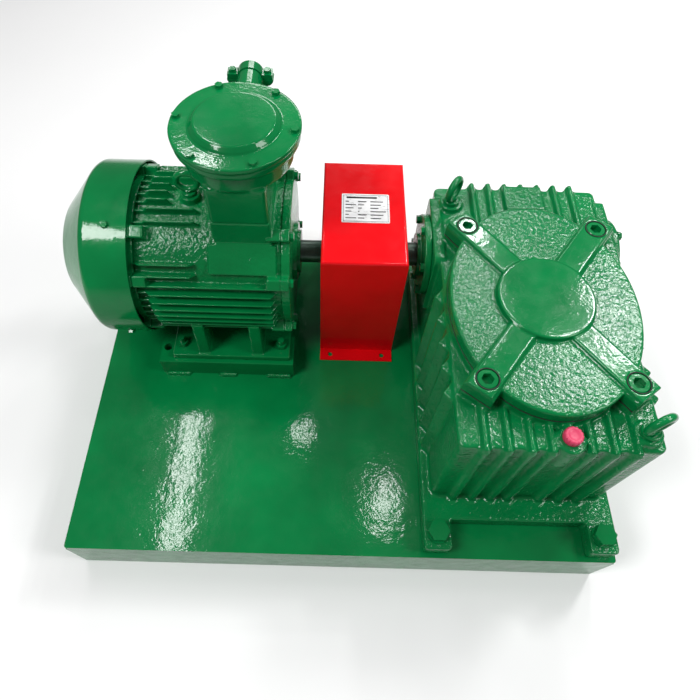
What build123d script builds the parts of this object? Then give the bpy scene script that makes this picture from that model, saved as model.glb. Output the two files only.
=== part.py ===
"""Worm gearbox drive: a vertical-output worm gearbox, its foot-mounted motor, a guarded coupling and a base.

Frame: millimetres, +Z up, +X from the motor to the gearbox, origin at the centre of the base's underside.
The worm and the motor share one axis along X; the wheel turns about a vertical axis and drives downwards.
"""

from build123d import *
import math
import os

# ---------------------------------------------------------------- driving dimensions
FIT = 0.05  # radial running or assembly clearance
AIR = 0.4  # clearance between faces of different bodies

BASE_LENGTH, BASE_WIDTH, BASE_HEIGHT = 1106.0, 790.0, 135.0
PLATE = 12.0  # deck plate
RAIL_WEB, RAIL_FLANGE = 8.0, 60.0
CROSSMEMBER_X = (-300.0, 0.0, 232.0)

CENTRE_DISTANCE = 200.0
GEARBOX_X, WHEEL_Y = 355.0, -11.0
DRIVE_Y = WHEEL_Y + CENTRE_DISTANCE
DRIVE_Z = 369.0
DECK = BASE_HEIGHT

# worm set: two-start right-hand worm, fifty-tooth wheel
WHEEL_TEETH, WORM_STARTS, MODULE = 50, 2, 5.8
WHEEL_PITCH_R = WHEEL_TEETH * MODULE / 2
WORM_PITCH_R = CENTRE_DISTANCE - WHEEL_PITCH_R
LEAD = WORM_STARTS * math.pi * MODULE
LEAD_ANGLE = math.atan(LEAD / (2 * math.pi * WORM_PITCH_R))
WORM_ADDENDUM, WORM_DEDENDUM, WHEEL_ADDENDUM = 5.6, 7.0, 5.8
WORM_TIP_R, WORM_ROOT_R = WORM_PITCH_R + WORM_ADDENDUM, WORM_PITCH_R - WORM_DEDENDUM
WORM_TURNS = 4
WHEEL_TIP_R, RIM_INNER_R = WHEEL_PITCH_R + WHEEL_ADDENDUM, 118.0
WHEEL_WIDTH = 80.0

# gearbox housing, measured from the wheel axis
BODY_HALF_X, BODY_FRONT, BODY_REAR = 172.0, 268.0, 318.0
BODY_TOP, FLANGE_TOP, COVER_SEAT, COVER_TOP = 452.0, 468.0, 470.0, 502.0
WALL = 14.0
OPENING_R = 158.0
COVER_HALF_X, COVER_HALF_Y = 171.0, 226.0
COVER_BOLT_X, COVER_BOLT_Y = 125.0, 166.6
LOBE_WIDTH, LOBE_OVERHANG = 58.0, 27.0
FOOT_INNER, FOOT_OUTER, FOOT_REACH, FOOT_THICKNESS = 136.0, 191.0, 375.0, 40.0
FOOT_BOLT_X, FOOT_BOLT_Y = 163.0, 342.0
BOSS_HALF, BOSS_FACE = 88.0, 184.0
WORM_BEARING = (30.0, 65.0, 31.0)  # bore radius, outer radius, width
WORM_BEARING_X = 124.0
UPPER_BEARING, LOWER_BEARING = (40.0, 70.0, 33.0), (45.0, 80.0, 38.0)
UPPER_BEARING_Z, LOWER_BEARING_Z = 440.0, 165.0
OUTPUT_R, OUTPUT_END = 42.0, 14.0
INPUT_R = 25.0

# motor, along the drive axis
MOTOR_PAD_HEIGHT = 54.0
PAD_START, PAD_LENGTH, PAD_FRONT, PAD_WIDTH = -418.0, 304.0, 4.0, 76.0
FRAME_START, FRAME_END = -415.0, -130.0
FRAME_BORE_R, FRAME_R, FIN_R = 141.0, 152.0, 172.0
SHIELD_R, SHIELD_THICKNESS = 176.0, 17.0
MOTOR_BEARING = (27.5, 60.0, 29.0)
REAR_BEARING_X, FRONT_BEARING_X = -429.0, -143.0
COWL_START, COWL_SHOULDER, COWL_END = -573.0, -505.0, -418.0
COWL_NOSE_R, COWL_R, COWL_SHEET = 100.0, 182.0, 3.0
CORE_START, CORE_END = -375.0, -175.0
ROTOR_R, STATOR_BORE_R = 92.0, 93.0
MOTOR_SHAFT_R = 24.0
FOOT_BOLT_OFFSET = 145.0
FOOT_BOLTS_X = (-366.0, -142.0)
FOOT_LEGS_X = (-314.0, -194.0)
BOX_X, BOX_R, BOX_FLANGE_R = -202.0, 98.0, 113.0
BOX_SADDLE = (108.0, 188.0)
BOX_SEAT, BOX_SHOULDER, BOX_FLANGE, LID_SEAT, LID_TOP = 556.0, 638.0, 676.0, 690.0, 711.0
GLAND_Z = 640.0

# coupling and guard
MOTOR_HUB_START, JAW_START, JAW_END, GEAR_HUB_END = -45.0, 12.0, 36.0, 96.0
HUB_R, JAW_R = 42.0, 60.0
GUARD_X = (-54.0, 117.0)
GUARD_Y = (78.0, 355.0)
GUARD_TOP, GUARD_SHEET, GUARD_FLANGE = 471.0, 3.0, 30.0

# fasteners: shares of the thread's diameter
WASHER_R, WASHER_HEIGHT, HEX_FLAT_R, HEAD_HEIGHT, NUT_HEIGHT = 0.95, 0.14, 0.78, 0.62, 0.8
SOCKET_HEAD_R, SOCKET_HEAD_HEIGHT, SOCKET_FLAT_R, SOCKET_DEPTH, SOCKET_BEVEL = 0.75, 0.92, 0.4, 0.5, 0.06

# eyebolts: shares of the ring's wire radius
EYE_COLLAR_R, EYE_COLLAR, EYE_NECK_R, EYE_NECK, EYE_SINK, EYE_ROUND = 2.4, 1.2, 1.5, 0.9, 0.6, 0.4

# bearings: shares of the space between bore and outside, and the number of balls
RING_SHARE, BALL_SHARE, BALLS = 0.27, 0.23, 9

MIN_Z = (Align.CENTER, Align.CENTER, Align.MIN)
MAX_Z = (Align.CENTER, Align.CENTER, Align.MAX)

os.makedirs("parts", exist_ok=True)


# ---------------------------------------------------------------- shared shapes
def drive_plane(x):
    """Plane across the drive axis at x, facing +X; its own x runs along +Y and its y along +Z."""
    return Plane(origin=(x, DRIVE_Y, DRIVE_Z), x_dir=(0, 1, 0), z_dir=(1, 0, 0))


def wheel_plane(z):
    """Plane across the wheel axis at height z, facing up."""
    return Plane(origin=(GEARBOX_X, WHEEL_Y, z), x_dir=(1, 0, 0), z_dir=(0, 0, 1))


def save(builder, name):
    """Label a finished piece and write it as its own STEP file."""
    builder.part.label = name
    export_step(builder.part, f"parts/{name}.step")


def turned(plane_at, steps, bore=0.0):
    """Turned piece: (start, end, radius) steps along the axis of plane_at, with an optional through bore."""
    with BuildPart() as piece:
        for start, end, radius in steps:
            with BuildSketch(plane_at(start)):
                Circle(radius)
            extrude(amount=end - start)
        if bore:
            first, last = steps[0][0], steps[-1][1]
            with BuildSketch(plane_at(first)):
                Circle(bore)
            extrude(amount=last - first, mode=Mode.SUBTRACT)
    return piece


def hex_bolt(diameter, shank):
    """Hexagon-head bolt with a plain washer, seated on z = 0, shank pointing down."""
    with BuildPart() as bolt:
        with BuildSketch():
            Circle(diameter * WASHER_R)
        extrude(amount=diameter * WASHER_HEIGHT)
        with BuildSketch(Plane.XY.offset(diameter * WASHER_HEIGHT)):
            RegularPolygon(radius=diameter * HEX_FLAT_R, side_count=6, major_radius=False)
        extrude(amount=diameter * HEAD_HEIGHT)
        with BuildSketch():
            Circle(diameter / 2 - FIT)
        extrude(amount=-shank)
    return bolt.part


def socket_screw(diameter, shank):
    """Hexagon-socket head screw, head bearing on z = 0, shank pointing down."""
    head = diameter * SOCKET_HEAD_HEIGHT
    with BuildPart() as screw:
        with BuildSketch():
            Circle(diameter * SOCKET_HEAD_R)
        extrude(amount=head)
        chamfer(screw.faces().sort_by(Axis.Z)[-1].edges(), diameter * SOCKET_BEVEL)
        with BuildSketch(Plane.XY.offset(head)):
            RegularPolygon(radius=diameter * SOCKET_FLAT_R, side_count=6, major_radius=False)
        extrude(amount=-diameter * SOCKET_DEPTH, mode=Mode.SUBTRACT)
        with BuildSketch():
            Circle(diameter / 2 - FIT)
        extrude(amount=-shank)
    return screw.part


def hex_nut(diameter):
    """Hexagon nut seated on z = 0, with its bore cut to the thread's outside."""
    with BuildPart() as nut:
        with BuildSketch():
            RegularPolygon(radius=diameter * HEX_FLAT_R, side_count=6, major_radius=False)
            Circle(diameter / 2, mode=Mode.SUBTRACT)
        extrude(amount=diameter * NUT_HEIGHT)
    return nut.part


def lifting_eye(ring_r, wire_r, shank_r, shank):
    """Eyebolt seated on z = 0: collar, vertical ring in the XZ plane and a shank pointing down."""
    collar = wire_r * EYE_COLLAR
    ring_centre = collar + ring_r + wire_r * EYE_SINK
    with BuildPart() as eye:
        with BuildSketch():
            Circle(wire_r * EYE_COLLAR_R)
        extrude(amount=collar)
        fillet(eye.faces().sort_by(Axis.Z)[-1].edges(), wire_r * EYE_ROUND)
        with BuildSketch(Plane.XY.offset(collar)):
            Circle(wire_r * EYE_NECK_R)
        extrude(amount=wire_r * EYE_NECK)
        with BuildSketch(Plane.XY.offset(ring_centre)):
            with Locations((ring_r, 0)):
                Circle(wire_r)
        revolve(axis=Axis((0, 0, ring_centre), (0, 1, 0)))
        with BuildSketch():
            Circle(shank_r - FIT)
        extrude(amount=-shank)
    return eye.part


def placed(template, locations):
    """The same template at every location, as one node of separate solids."""
    with BuildPart() as group:
        with Locations(*locations):
            add(template)
    return group


def bearing(plane_at, start, size):
    """Deep-groove bearing as outer ring, inner ring and ball set."""
    bore, outer, width = size
    wall = RING_SHARE * (outer - bore)
    ball_r = BALL_SHARE * (outer - bore) - AIR
    with BuildPart() as outer_ring:
        with BuildSketch(plane_at(start)):
            Circle(outer)
            Circle(outer - wall, mode=Mode.SUBTRACT)
        extrude(amount=width)
    with BuildPart() as inner_ring:
        with BuildSketch(plane_at(start)):
            Circle(bore + wall)
            Circle(bore + FIT, mode=Mode.SUBTRACT)
        extrude(amount=width)
    with BuildPart(plane_at(start + width / 2)) as balls:
        with PolarLocations((bore + outer) / 2, BALLS):
            Sphere(ball_r)
    return outer_ring.part, inner_ring.part, balls.part


def merged(*parts):
    """Separate solids gathered in one node."""
    with BuildPart() as group:
        for part in parts:
            add(part)
    return group


# ---------------------------------------------------------------- base
half_length, half_width = BASE_LENGTH / 2, BASE_WIDTH / 2
plate_bottom = BASE_HEIGHT - PLATE
gearbox_bolts = [
    (GEARBOX_X + sx * FOOT_BOLT_X, WHEEL_Y + sy * FOOT_BOLT_Y) for sx in (-1, 1) for sy in (-1, 1)
]
FOOT_BOLT = 24.0
BASE_HOLE_R, BASE_CORNER_R = 100.0, 6.0

with BuildPart() as base_plate:
    with BuildSketch(Plane.XY.offset(plate_bottom)):
        RectangleRounded(BASE_LENGTH, BASE_WIDTH, BASE_CORNER_R)
        with Locations((GEARBOX_X, WHEEL_Y)):
            Circle(BASE_HOLE_R, mode=Mode.SUBTRACT)
        with Locations(*gearbox_bolts):
            Circle(FOOT_BOLT / 2, mode=Mode.SUBTRACT)
    extrude(amount=PLATE)
save(base_plate, "base_plate")

# four angle-section rails under the deck, each a separate solid
side_length = BASE_WIDTH - 2 * RAIL_WEB
corner_width = RAIL_FLANGE - RAIL_WEB
with BuildPart() as base_rails:
    for side in (-1, 1):
        web_y = side * (half_width - RAIL_WEB / 2)
        flange_y = side * (half_width - RAIL_FLANGE / 2)
        with BuildSketch():
            with Locations((0, flange_y)):
                Rectangle(BASE_LENGTH - 2 * FIT, RAIL_FLANGE)
        extrude(amount=RAIL_WEB)
        with BuildSketch():
            with Locations((0, web_y)):
                Rectangle(BASE_LENGTH - 2 * FIT, RAIL_WEB)
        extrude(amount=plate_bottom)

end_span = BASE_WIDTH - 2 * RAIL_FLANGE
with BuildPart() as base_ends:
    for side in (-1, 1):
        web_x = side * (half_length - RAIL_WEB / 2)
        flange_x = side * (half_length - RAIL_FLANGE / 2)
        with BuildSketch():
            with Locations((flange_x, 0)):
                Rectangle(RAIL_FLANGE, end_span)
        extrude(amount=RAIL_WEB)
        with BuildSketch():
            with Locations((web_x, 0)):
                Rectangle(RAIL_WEB, side_length)
        extrude(amount=plate_bottom)
        with BuildSketch():
            for end in (-1, 1):
                with Locations((web_x, end * (half_width - RAIL_WEB - corner_width / 2))):
                    Rectangle(RAIL_WEB, corner_width)
        extrude(amount=RAIL_WEB, mode=Mode.SUBTRACT)
save(merged(base_rails.part, base_ends.part), "base_rails")

with BuildPart() as base_crossmembers:
    for member_x in CROSSMEMBER_X:
        with BuildSketch():
            with Locations((member_x, 0)):
                Rectangle(RAIL_FLANGE, end_span)
        extrude(amount=RAIL_WEB)
        with BuildSketch(Plane.XY.offset(RAIL_WEB)):
            with Locations((member_x, 0)):
                Rectangle(RAIL_WEB, side_length)
        extrude(amount=plate_bottom - RAIL_WEB)
save(base_crossmembers, "base_crossmembers")

pad_centre_x = PAD_START + PAD_LENGTH / 2
pad_offset = DRIVE_Y - (PAD_FRONT + PAD_WIDTH / 2)
SPARE_HOLE_X, SPARE_HOLE_R, STUD_R, PAD_HOLE, PAD_BEVEL = -404.0, 9.0, 7.0, 30.0, 2.0
with BuildPart() as motor_pads:
    for side in (-1, 1):
        pad_y = DRIVE_Y + side * pad_offset
        with BuildSketch(Plane.XY.offset(DECK)):
            with Locations((pad_centre_x, pad_y)):
                Rectangle(PAD_LENGTH, PAD_WIDTH)
        extrude(amount=MOTOR_PAD_HEIGHT)
        with BuildSketch(Plane.XY.offset(DECK + MOTOR_PAD_HEIGHT)):
            with Locations((SPARE_HOLE_X, pad_y)):
                Circle(SPARE_HOLE_R)
            with Locations(*[(x, DRIVE_Y + side * FOOT_BOLT_OFFSET) for x in FOOT_BOLTS_X]):
                Circle(STUD_R)
        extrude(amount=-PAD_HOLE, mode=Mode.SUBTRACT)
    chamfer(motor_pads.faces().group_by(Axis.Z)[-1].edges().filter_by(Axis.X), PAD_BEVEL)
save(motor_pads, "motor_pads")

# stitch welds: three short fillet beads along the outer foot of each pad
WELD_LEG = 9.0
WELDS = ((8, 56), (130, 42), (240, 60))  # distance from the pad's left end, length
with BuildPart() as weld_beads:
    for side in (-1, 1):
        edge_y = DRIVE_Y + side * (pad_offset + PAD_WIDTH / 2)
        for start, length in WELDS:
            across = Plane(origin=(PAD_START + start, edge_y, DECK), x_dir=(0, side, 0), z_dir=(side, 0, 0))
            with BuildSketch(across):
                Polygon((0, 0), (WELD_LEG, 0), (0, WELD_LEG), align=None)
            extrude(amount=side * length)
save(weld_beads, "weld_beads")

# ---------------------------------------------------------------- motor: stationary pieces
foot_seat = DECK + MOTOR_PAD_HEIGHT
CENTRE_FINS = (0, 7)  # degrees from the top, mirrored
UPPER_FINS = (14, 23)
SHORT_FINS = (51, 59)
LOWER_FINS = (66, 73, 80, 87, 94, 101, 108, 115)
FIN_THICKNESS, CENTRE_FIN_END, UPPER_FIN_END, SHORT_FIN_END = 4.0, -338.0, -283.0, -290.0
FOOT_PLATE, FOOT_START, FOOT_END = 16.0, -386.0, -122.0
FOOT_OUTER_Y, FOOT_INNER_Y, LEG_WIDTH = 176.0, 96.0, 24.0
PLATE_PAD_X, PLATE_PAD_LENGTH, PLATE_PAD_ANGLE = -204.0, 130.0, 47.0
PLATE_PAD_WIDTH, PLATE_PAD_RISE = 58.0, 8.0
LUG_ANGLES = (30, 62, 118, 150, 210, 242, 298, 330)
LUG_LENGTH, LUG_WIDTH, LUG_SINK, LUG_HOLE = 26.0, 24.0, 10.0, 60.0
LUG_BOLT, LUG_BOLT_R, LUG_SHANK = 10.0, 163.0, 38.0
FIN_SINK, FIN_SLOPE, FIN_STEP = 8.0, 14.0, 8.0
LEG_INSET, LEG_SHOULDER, LEG_CROWN, LEG_ARCH = 6.0, 60.0, 30.0, 108.0  # the last three below the drive axis
MOTOR_EYE_X, MOTOR_EYE_RISE, MOTOR_EYE_BOSS = -310.0, 14.0, (20.0, 24.0)
MOTOR_EYE_HOLE, MOTOR_EYE_SHANK = (8.0, 20.0), 16.0
CABLE_WAY_R, CABLE_WAY_SINK, CABLE_WAY = 30.0, 20.0, 80.0
STUD_CLEARANCE = 0.8
motor_eye_seat = DRIVE_Z + FRAME_R + MOTOR_EYE_RISE


def lug_locations(x):
    """Tie-bolt axes of the lugs on the plane across the drive axis at x."""
    across = drive_plane(x).location
    return [across * Rot(0, 0, angle) * Pos(0, LUG_BOLT_R, 0) for angle in LUG_ANGLES]


def fin_angles(angles):
    """Each angle from the top of the motor and its mirror image, once each."""
    return sorted({sign * angle for angle in angles for sign in (-1, 1)})


def fin(length, notch):
    """One cooling fin along X from x = 0, stepped at its left end and sloped at its right."""
    foot, step = FRAME_R - FIN_SINK, (FRAME_R + FIN_R) / 2
    with BuildPart() as blade:
        with BuildSketch(Plane.XZ):
            Polygon(
                (0, foot), (length, foot), (length - FIN_SLOPE, FIN_R), (notch, FIN_R),
                (notch - FIN_STEP, step), (0, step), align=None,
            )
        extrude(amount=FIN_THICKNESS / 2, both=True)
    return blade.part


frame_length = FRAME_END - FRAME_START
LONG_NOTCH, SHORT_NOTCH, FIN_STOP = 28.0, 14.0, 6.0
centre_fin = fin(CENTRE_FIN_END - FRAME_START, LONG_NOTCH)
upper_fin = fin(UPPER_FIN_END - FRAME_START, LONG_NOTCH)
short_fin = fin(SHORT_FIN_END - FRAME_START, SHORT_NOTCH)
lower_fin = fin(frame_length - FIN_STOP, LONG_NOTCH)
stud_spots = [(x, DRIVE_Y + side * FOOT_BOLT_OFFSET) for x in FOOT_BOLTS_X for side in (-1, 1)]
fin_rows = (
    (centre_fin, CENTRE_FINS), (upper_fin, UPPER_FINS), (short_fin, SHORT_FINS), (lower_fin, LOWER_FINS),
)

with BuildPart() as motor_frame:
    with BuildSketch(drive_plane(FRAME_START)):
        Circle(FRAME_R)
    extrude(amount=frame_length)
    for blade, angles in fin_rows:
        for angle in fin_angles(angles):
            with Locations(Location((FRAME_START, DRIVE_Y, DRIVE_Z), (angle, 0, 0))):
                add(blade)
    for side in (-1, 1):
        # raised blank rectangle for a plate, on each flank by the drive end
        with Locations(Location((PLATE_PAD_X, DRIVE_Y, DRIVE_Z), (side * PLATE_PAD_ANGLE, 0, 0))):
            Box(PLATE_PAD_LENGTH, PLATE_PAD_WIDTH, FRAME_R + PLATE_PAD_RISE, align=MIN_Z)
        # foot plate and its two legs
        with Locations((FOOT_START, DRIVE_Y + side * (FOOT_OUTER_Y + FOOT_INNER_Y) / 2, foot_seat)):
            Box(
                FOOT_END - FOOT_START, FOOT_OUTER_Y - FOOT_INNER_Y, FOOT_PLATE,
                align=(Align.MIN, Align.CENTER, Align.MIN),
            )
        for leg_x in FOOT_LEGS_X:
            with BuildSketch(Plane(origin=(leg_x, DRIVE_Y, 0), x_dir=(0, side, 0), z_dir=(side, 0, 0))):
                Polygon(
                    (FOOT_INNER_Y + LEG_INSET, foot_seat), (FOOT_OUTER_Y - LEG_INSET, foot_seat),
                    (FOOT_OUTER_Y - 2 * LEG_INSET, DRIVE_Z - LEG_SHOULDER),
                    (FRAME_R - 2 * LEG_INSET, DRIVE_Z - LEG_CROWN),
                    (FOOT_INNER_Y - LEG_INSET, DRIVE_Z - LEG_ARCH), align=None,
                )
            extrude(amount=LEG_WIDTH / 2, both=True)
    # saddle for the terminal box
    with Locations((BOX_X, DRIVE_Y, DRIVE_Z)):
        Box(*BOX_SADDLE, BOX_SEAT - DRIVE_Z, align=MIN_Z)
    # tie-bolt lugs at both ends
    lug_rise = SHIELD_R - FRAME_R + LUG_SINK
    for lug_start in (FRAME_START, FRAME_END - LUG_LENGTH):
        for angle in LUG_ANGLES:
            with Locations(Location((lug_start, DRIVE_Y, DRIVE_Z), (angle, 0, 0))):
                with Locations((0, 0, FRAME_R - LUG_SINK)):
                    Box(LUG_LENGTH, LUG_WIDTH, lug_rise, align=(Align.MIN, Align.CENTER, Align.MIN))
    # eyebolt boss
    with Locations((MOTOR_EYE_X, DRIVE_Y, motor_eye_seat)):
        Cylinder(*MOTOR_EYE_BOSS, align=MAX_Z)
    # bore, cable way and bolt holes
    with BuildSketch(drive_plane(FRAME_START)):
        Circle(FRAME_BORE_R)
    extrude(amount=frame_length, mode=Mode.SUBTRACT)
    with Locations((BOX_X, DRIVE_Y, DRIVE_Z + FRAME_BORE_R - CABLE_WAY_SINK)):
        Cylinder(CABLE_WAY_R, CABLE_WAY, align=MIN_Z, mode=Mode.SUBTRACT)
    with Locations(*[(x, y, foot_seat) for x, y in stud_spots]):
        Cylinder(STUD_R + STUD_CLEARANCE, 3 * FOOT_PLATE, mode=Mode.SUBTRACT)
    with Locations((MOTOR_EYE_X, DRIVE_Y, motor_eye_seat)):
        Cylinder(*MOTOR_EYE_HOLE, align=MAX_Z, mode=Mode.SUBTRACT)
    with Locations(*lug_locations(FRAME_START), *lug_locations(FRAME_END)):
        Cylinder(LUG_BOLT / 2, LUG_HOLE, mode=Mode.SUBTRACT)
save(motor_frame, "motor_frame")


SHIELD_HUB_R, SHAFT_PASSAGE_R, SPIGOT, SHIELD_OVERHANG = 72.0, 30.0, 6.0, 4.0


def end_shield(outer_face, inner_face, hub_end):
    """Bearing shield: a lugged disc from outer_face to inner_face, its bearing hub reaching in to hub_end."""
    outward = math.copysign(1, outer_face - inner_face)
    with BuildPart() as shield:
        with BuildSketch(drive_plane(outer_face)):
            Circle(FRAME_R + SHIELD_OVERHANG)
            for angle in LUG_ANGLES:
                with Locations(Rot(0, 0, angle) * Pos(0, (FRAME_R + SHIELD_R) / 2 - SHIELD_OVERHANG, 0)):
                    Rectangle(LUG_WIDTH, SHIELD_R - FRAME_R + 2 * SHIELD_OVERHANG)
        extrude(amount=inner_face - outer_face)
        with BuildSketch(drive_plane(inner_face)):
            Circle(FRAME_BORE_R - FIT)
            Circle(FRAME_BORE_R - SPIGOT, mode=Mode.SUBTRACT)
        extrude(amount=-outward * SPIGOT)
        with BuildSketch(drive_plane(outer_face)):
            Circle(SHIELD_HUB_R)
        extrude(amount=hub_end - outer_face)
        with BuildSketch(drive_plane(hub_end)):
            Circle(MOTOR_BEARING[1] + FIT)
        extrude(amount=outward * MOTOR_BEARING[2], mode=Mode.SUBTRACT)
        with BuildSketch(drive_plane(outer_face)):
            Circle(SHAFT_PASSAGE_R)
        extrude(amount=hub_end - outer_face, mode=Mode.SUBTRACT)
        with Locations(*lug_locations(inner_face)):
            Cylinder(LUG_BOLT / 2, 4 * SHIELD_THICKNESS, mode=Mode.SUBTRACT)
    return shield


front_face = FRAME_END + SHIELD_THICKNESS
rear_face = FRAME_START - SHIELD_THICKNESS
front_shield = end_shield(front_face, FRAME_END, FRONT_BEARING_X)
save(front_shield, "motor_drive_end_shield")
rear_shield = end_shield(rear_face, FRAME_START, REAR_BEARING_X + MOTOR_BEARING[2])
save(rear_shield, "motor_rear_end_shield")

# bearing cap over the drive-end hub
CAP_R, CAP_NECK_R, CAP_RIM, CAP_DEPTH = 62.0, 46.0, 8.0, 14.0
front_cap_steps = (
    (front_face, front_face + CAP_RIM, CAP_R), (front_face + CAP_RIM, front_face + CAP_DEPTH, CAP_NECK_R),
)
save(turned(drive_plane, front_cap_steps, MOTOR_SHAFT_R + AIR), "motor_bearing_cap")

lug_bolt = hex_bolt(LUG_BOLT, LUG_SHANK)
with BuildPart() as shield_bolts:
    with Locations(*lug_locations(front_face)):
        add(lug_bolt)
    with Locations(*[spot * Rot(0, 180, 0) for spot in lug_locations(rear_face)]):
        add(lug_bolt)
save(shield_bolts, "motor_shield_bolts")

# fan cowl: flat slotted nose, cone and cylinder of one sheet
SLOT_RINGS, SLOT_WIDTH, SPOKE_WIDTH = (78.0, 62.0, 46.0, 30.0), 8.0, 9.0  # outermost slot first
COWL_SCREW_X, COWL_SCREW_ANGLES = -458.0, (27, 117, 207, 297)
COWL_SCREW, COWL_SCREW_SHANK, COWL_ROUND = 8.0, 10.0, 16.0
with BuildPart() as fan_cowl:
    with BuildSketch(Plane(origin=(0, DRIVE_Y, DRIVE_Z), x_dir=(1, 0, 0), z_dir=(0, -1, 0))):
        with BuildLine():
            outside = FilletPolyline(
                (COWL_START, 0), (COWL_START, COWL_NOSE_R), (COWL_SHOULDER, COWL_R), (COWL_END, COWL_R),
                radius=COWL_ROUND,
            )
            inside = FilletPolyline(
                (COWL_END, COWL_R - COWL_SHEET), (COWL_SHOULDER + 1, COWL_R - COWL_SHEET),
                (COWL_START + COWL_SHEET, COWL_NOSE_R - 1), (COWL_START + COWL_SHEET, 0),
                radius=COWL_ROUND - COWL_SHEET,
            )
            Line(outside @ 1, inside @ 0)
            Line(inside @ 1, outside @ 0)
        make_face()
    revolve(axis=Axis((0, DRIVE_Y, DRIVE_Z), (1, 0, 0)))
    with BuildSketch(drive_plane(COWL_START)):
        for radius in SLOT_RINGS:
            Circle(radius + SLOT_WIDTH / 2)
            Circle(radius - SLOT_WIDTH / 2, mode=Mode.SUBTRACT)
        for angle in (0, 60, 120):
            Rectangle(2 * COWL_R, SPOKE_WIDTH, rotation=angle, mode=Mode.SUBTRACT)
    extrude(amount=2 * COWL_SHEET, mode=Mode.SUBTRACT)
    for angle in COWL_SCREW_ANGLES:
        with Locations(Location((COWL_SCREW_X, DRIVE_Y, DRIVE_Z), (angle, 0, 0)) * Pos(0, 0, COWL_R)):
            Cylinder(COWL_SCREW / 2, 2 * COWL_SCREW, mode=Mode.SUBTRACT)
save(fan_cowl, "motor_fan_cowl")

cowl_screw = hex_bolt(COWL_SCREW, COWL_SCREW_SHANK)
cowl_screws = placed(cowl_screw, [
    Location((COWL_SCREW_X, DRIVE_Y, DRIVE_Z), (angle, 0, 0)) * Pos(0, 0, COWL_R + AIR / 2)
    for angle in COWL_SCREW_ANGLES
])
save(cowl_screws, "motor_cowl_screws")

# stator: laminated core and the end turns of its windings
STATOR_SLOTS, STATOR_SLOT, STATOR_SLOT_DEPTH = 36, (18.0, 6.0), 11.0
with BuildPart() as stator_core:
    with BuildSketch(drive_plane(CORE_START)):
        Circle(FRAME_BORE_R - FIT)
        Circle(STATOR_BORE_R, mode=Mode.SUBTRACT)
        with PolarLocations(STATOR_BORE_R + STATOR_SLOT_DEPTH, STATOR_SLOTS):
            Rectangle(*STATOR_SLOT, mode=Mode.SUBTRACT)
    extrude(amount=CORE_END - CORE_START)
save(stator_core, "motor_stator_core")

WINDING_REACH, WINDING_R, WINDING_BORE_R, WINDING_ROUND = 24.0, 130.0, 98.0, 8.0
with BuildPart() as stator_windings:
    for start, end in ((CORE_START - WINDING_REACH, CORE_START), (CORE_END, CORE_END + WINDING_REACH)):
        with BuildSketch(drive_plane(start)):
            Circle(WINDING_R)
            Circle(WINDING_BORE_R, mode=Mode.SUBTRACT)
        extrude(amount=end - start)
    for end in (0, -1):
        fillet(stator_windings.edges().filter_by(GeomType.CIRCLE).group_by(Axis.X)[end], WINDING_ROUND)
save(stator_windings, "motor_stator_windings")

# bearings, split into the rings that stand still and the rings that turn
front_outer, front_inner, front_balls = bearing(drive_plane, FRONT_BEARING_X, MOTOR_BEARING)
rear_outer, rear_inner, rear_balls = bearing(drive_plane, REAR_BEARING_X, MOTOR_BEARING)
save(merged(front_inner, rear_inner), "motor_bearing_inner_rings")

MOTOR_EYE_RING_R, MOTOR_EYE_WIRE_R = 20.0, 6.0
motor_eye = lifting_eye(MOTOR_EYE_RING_R, MOTOR_EYE_WIRE_R, MOTOR_EYE_HOLE[0], MOTOR_EYE_SHANK)
motor_eyebolt = placed(motor_eye, [Location((MOTOR_EYE_X, DRIVE_Y, motor_eye_seat))])
save(motor_eyebolt, "motor_eyebolt")

# foot studs with nuts
STUD, STUD_DEPTH, STUD_TIP = 2 * STUD_R, 28.0, 12.0
stud_nut = hex_nut(STUD)
with BuildPart() as foot_studs:
    for x, y in stud_spots:
        with Locations((x, y, foot_seat - STUD_DEPTH)):
            Cylinder(STUD_R - FIT, STUD_DEPTH + FOOT_PLATE + STUD + STUD_TIP, align=MIN_Z)
foot_nuts = placed(stud_nut, [Location((x, y, foot_seat + FOOT_PLATE)) for x, y in stud_spots])
save(merged(foot_studs.part, foot_nuts.part), "motor_foot_studs")

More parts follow.
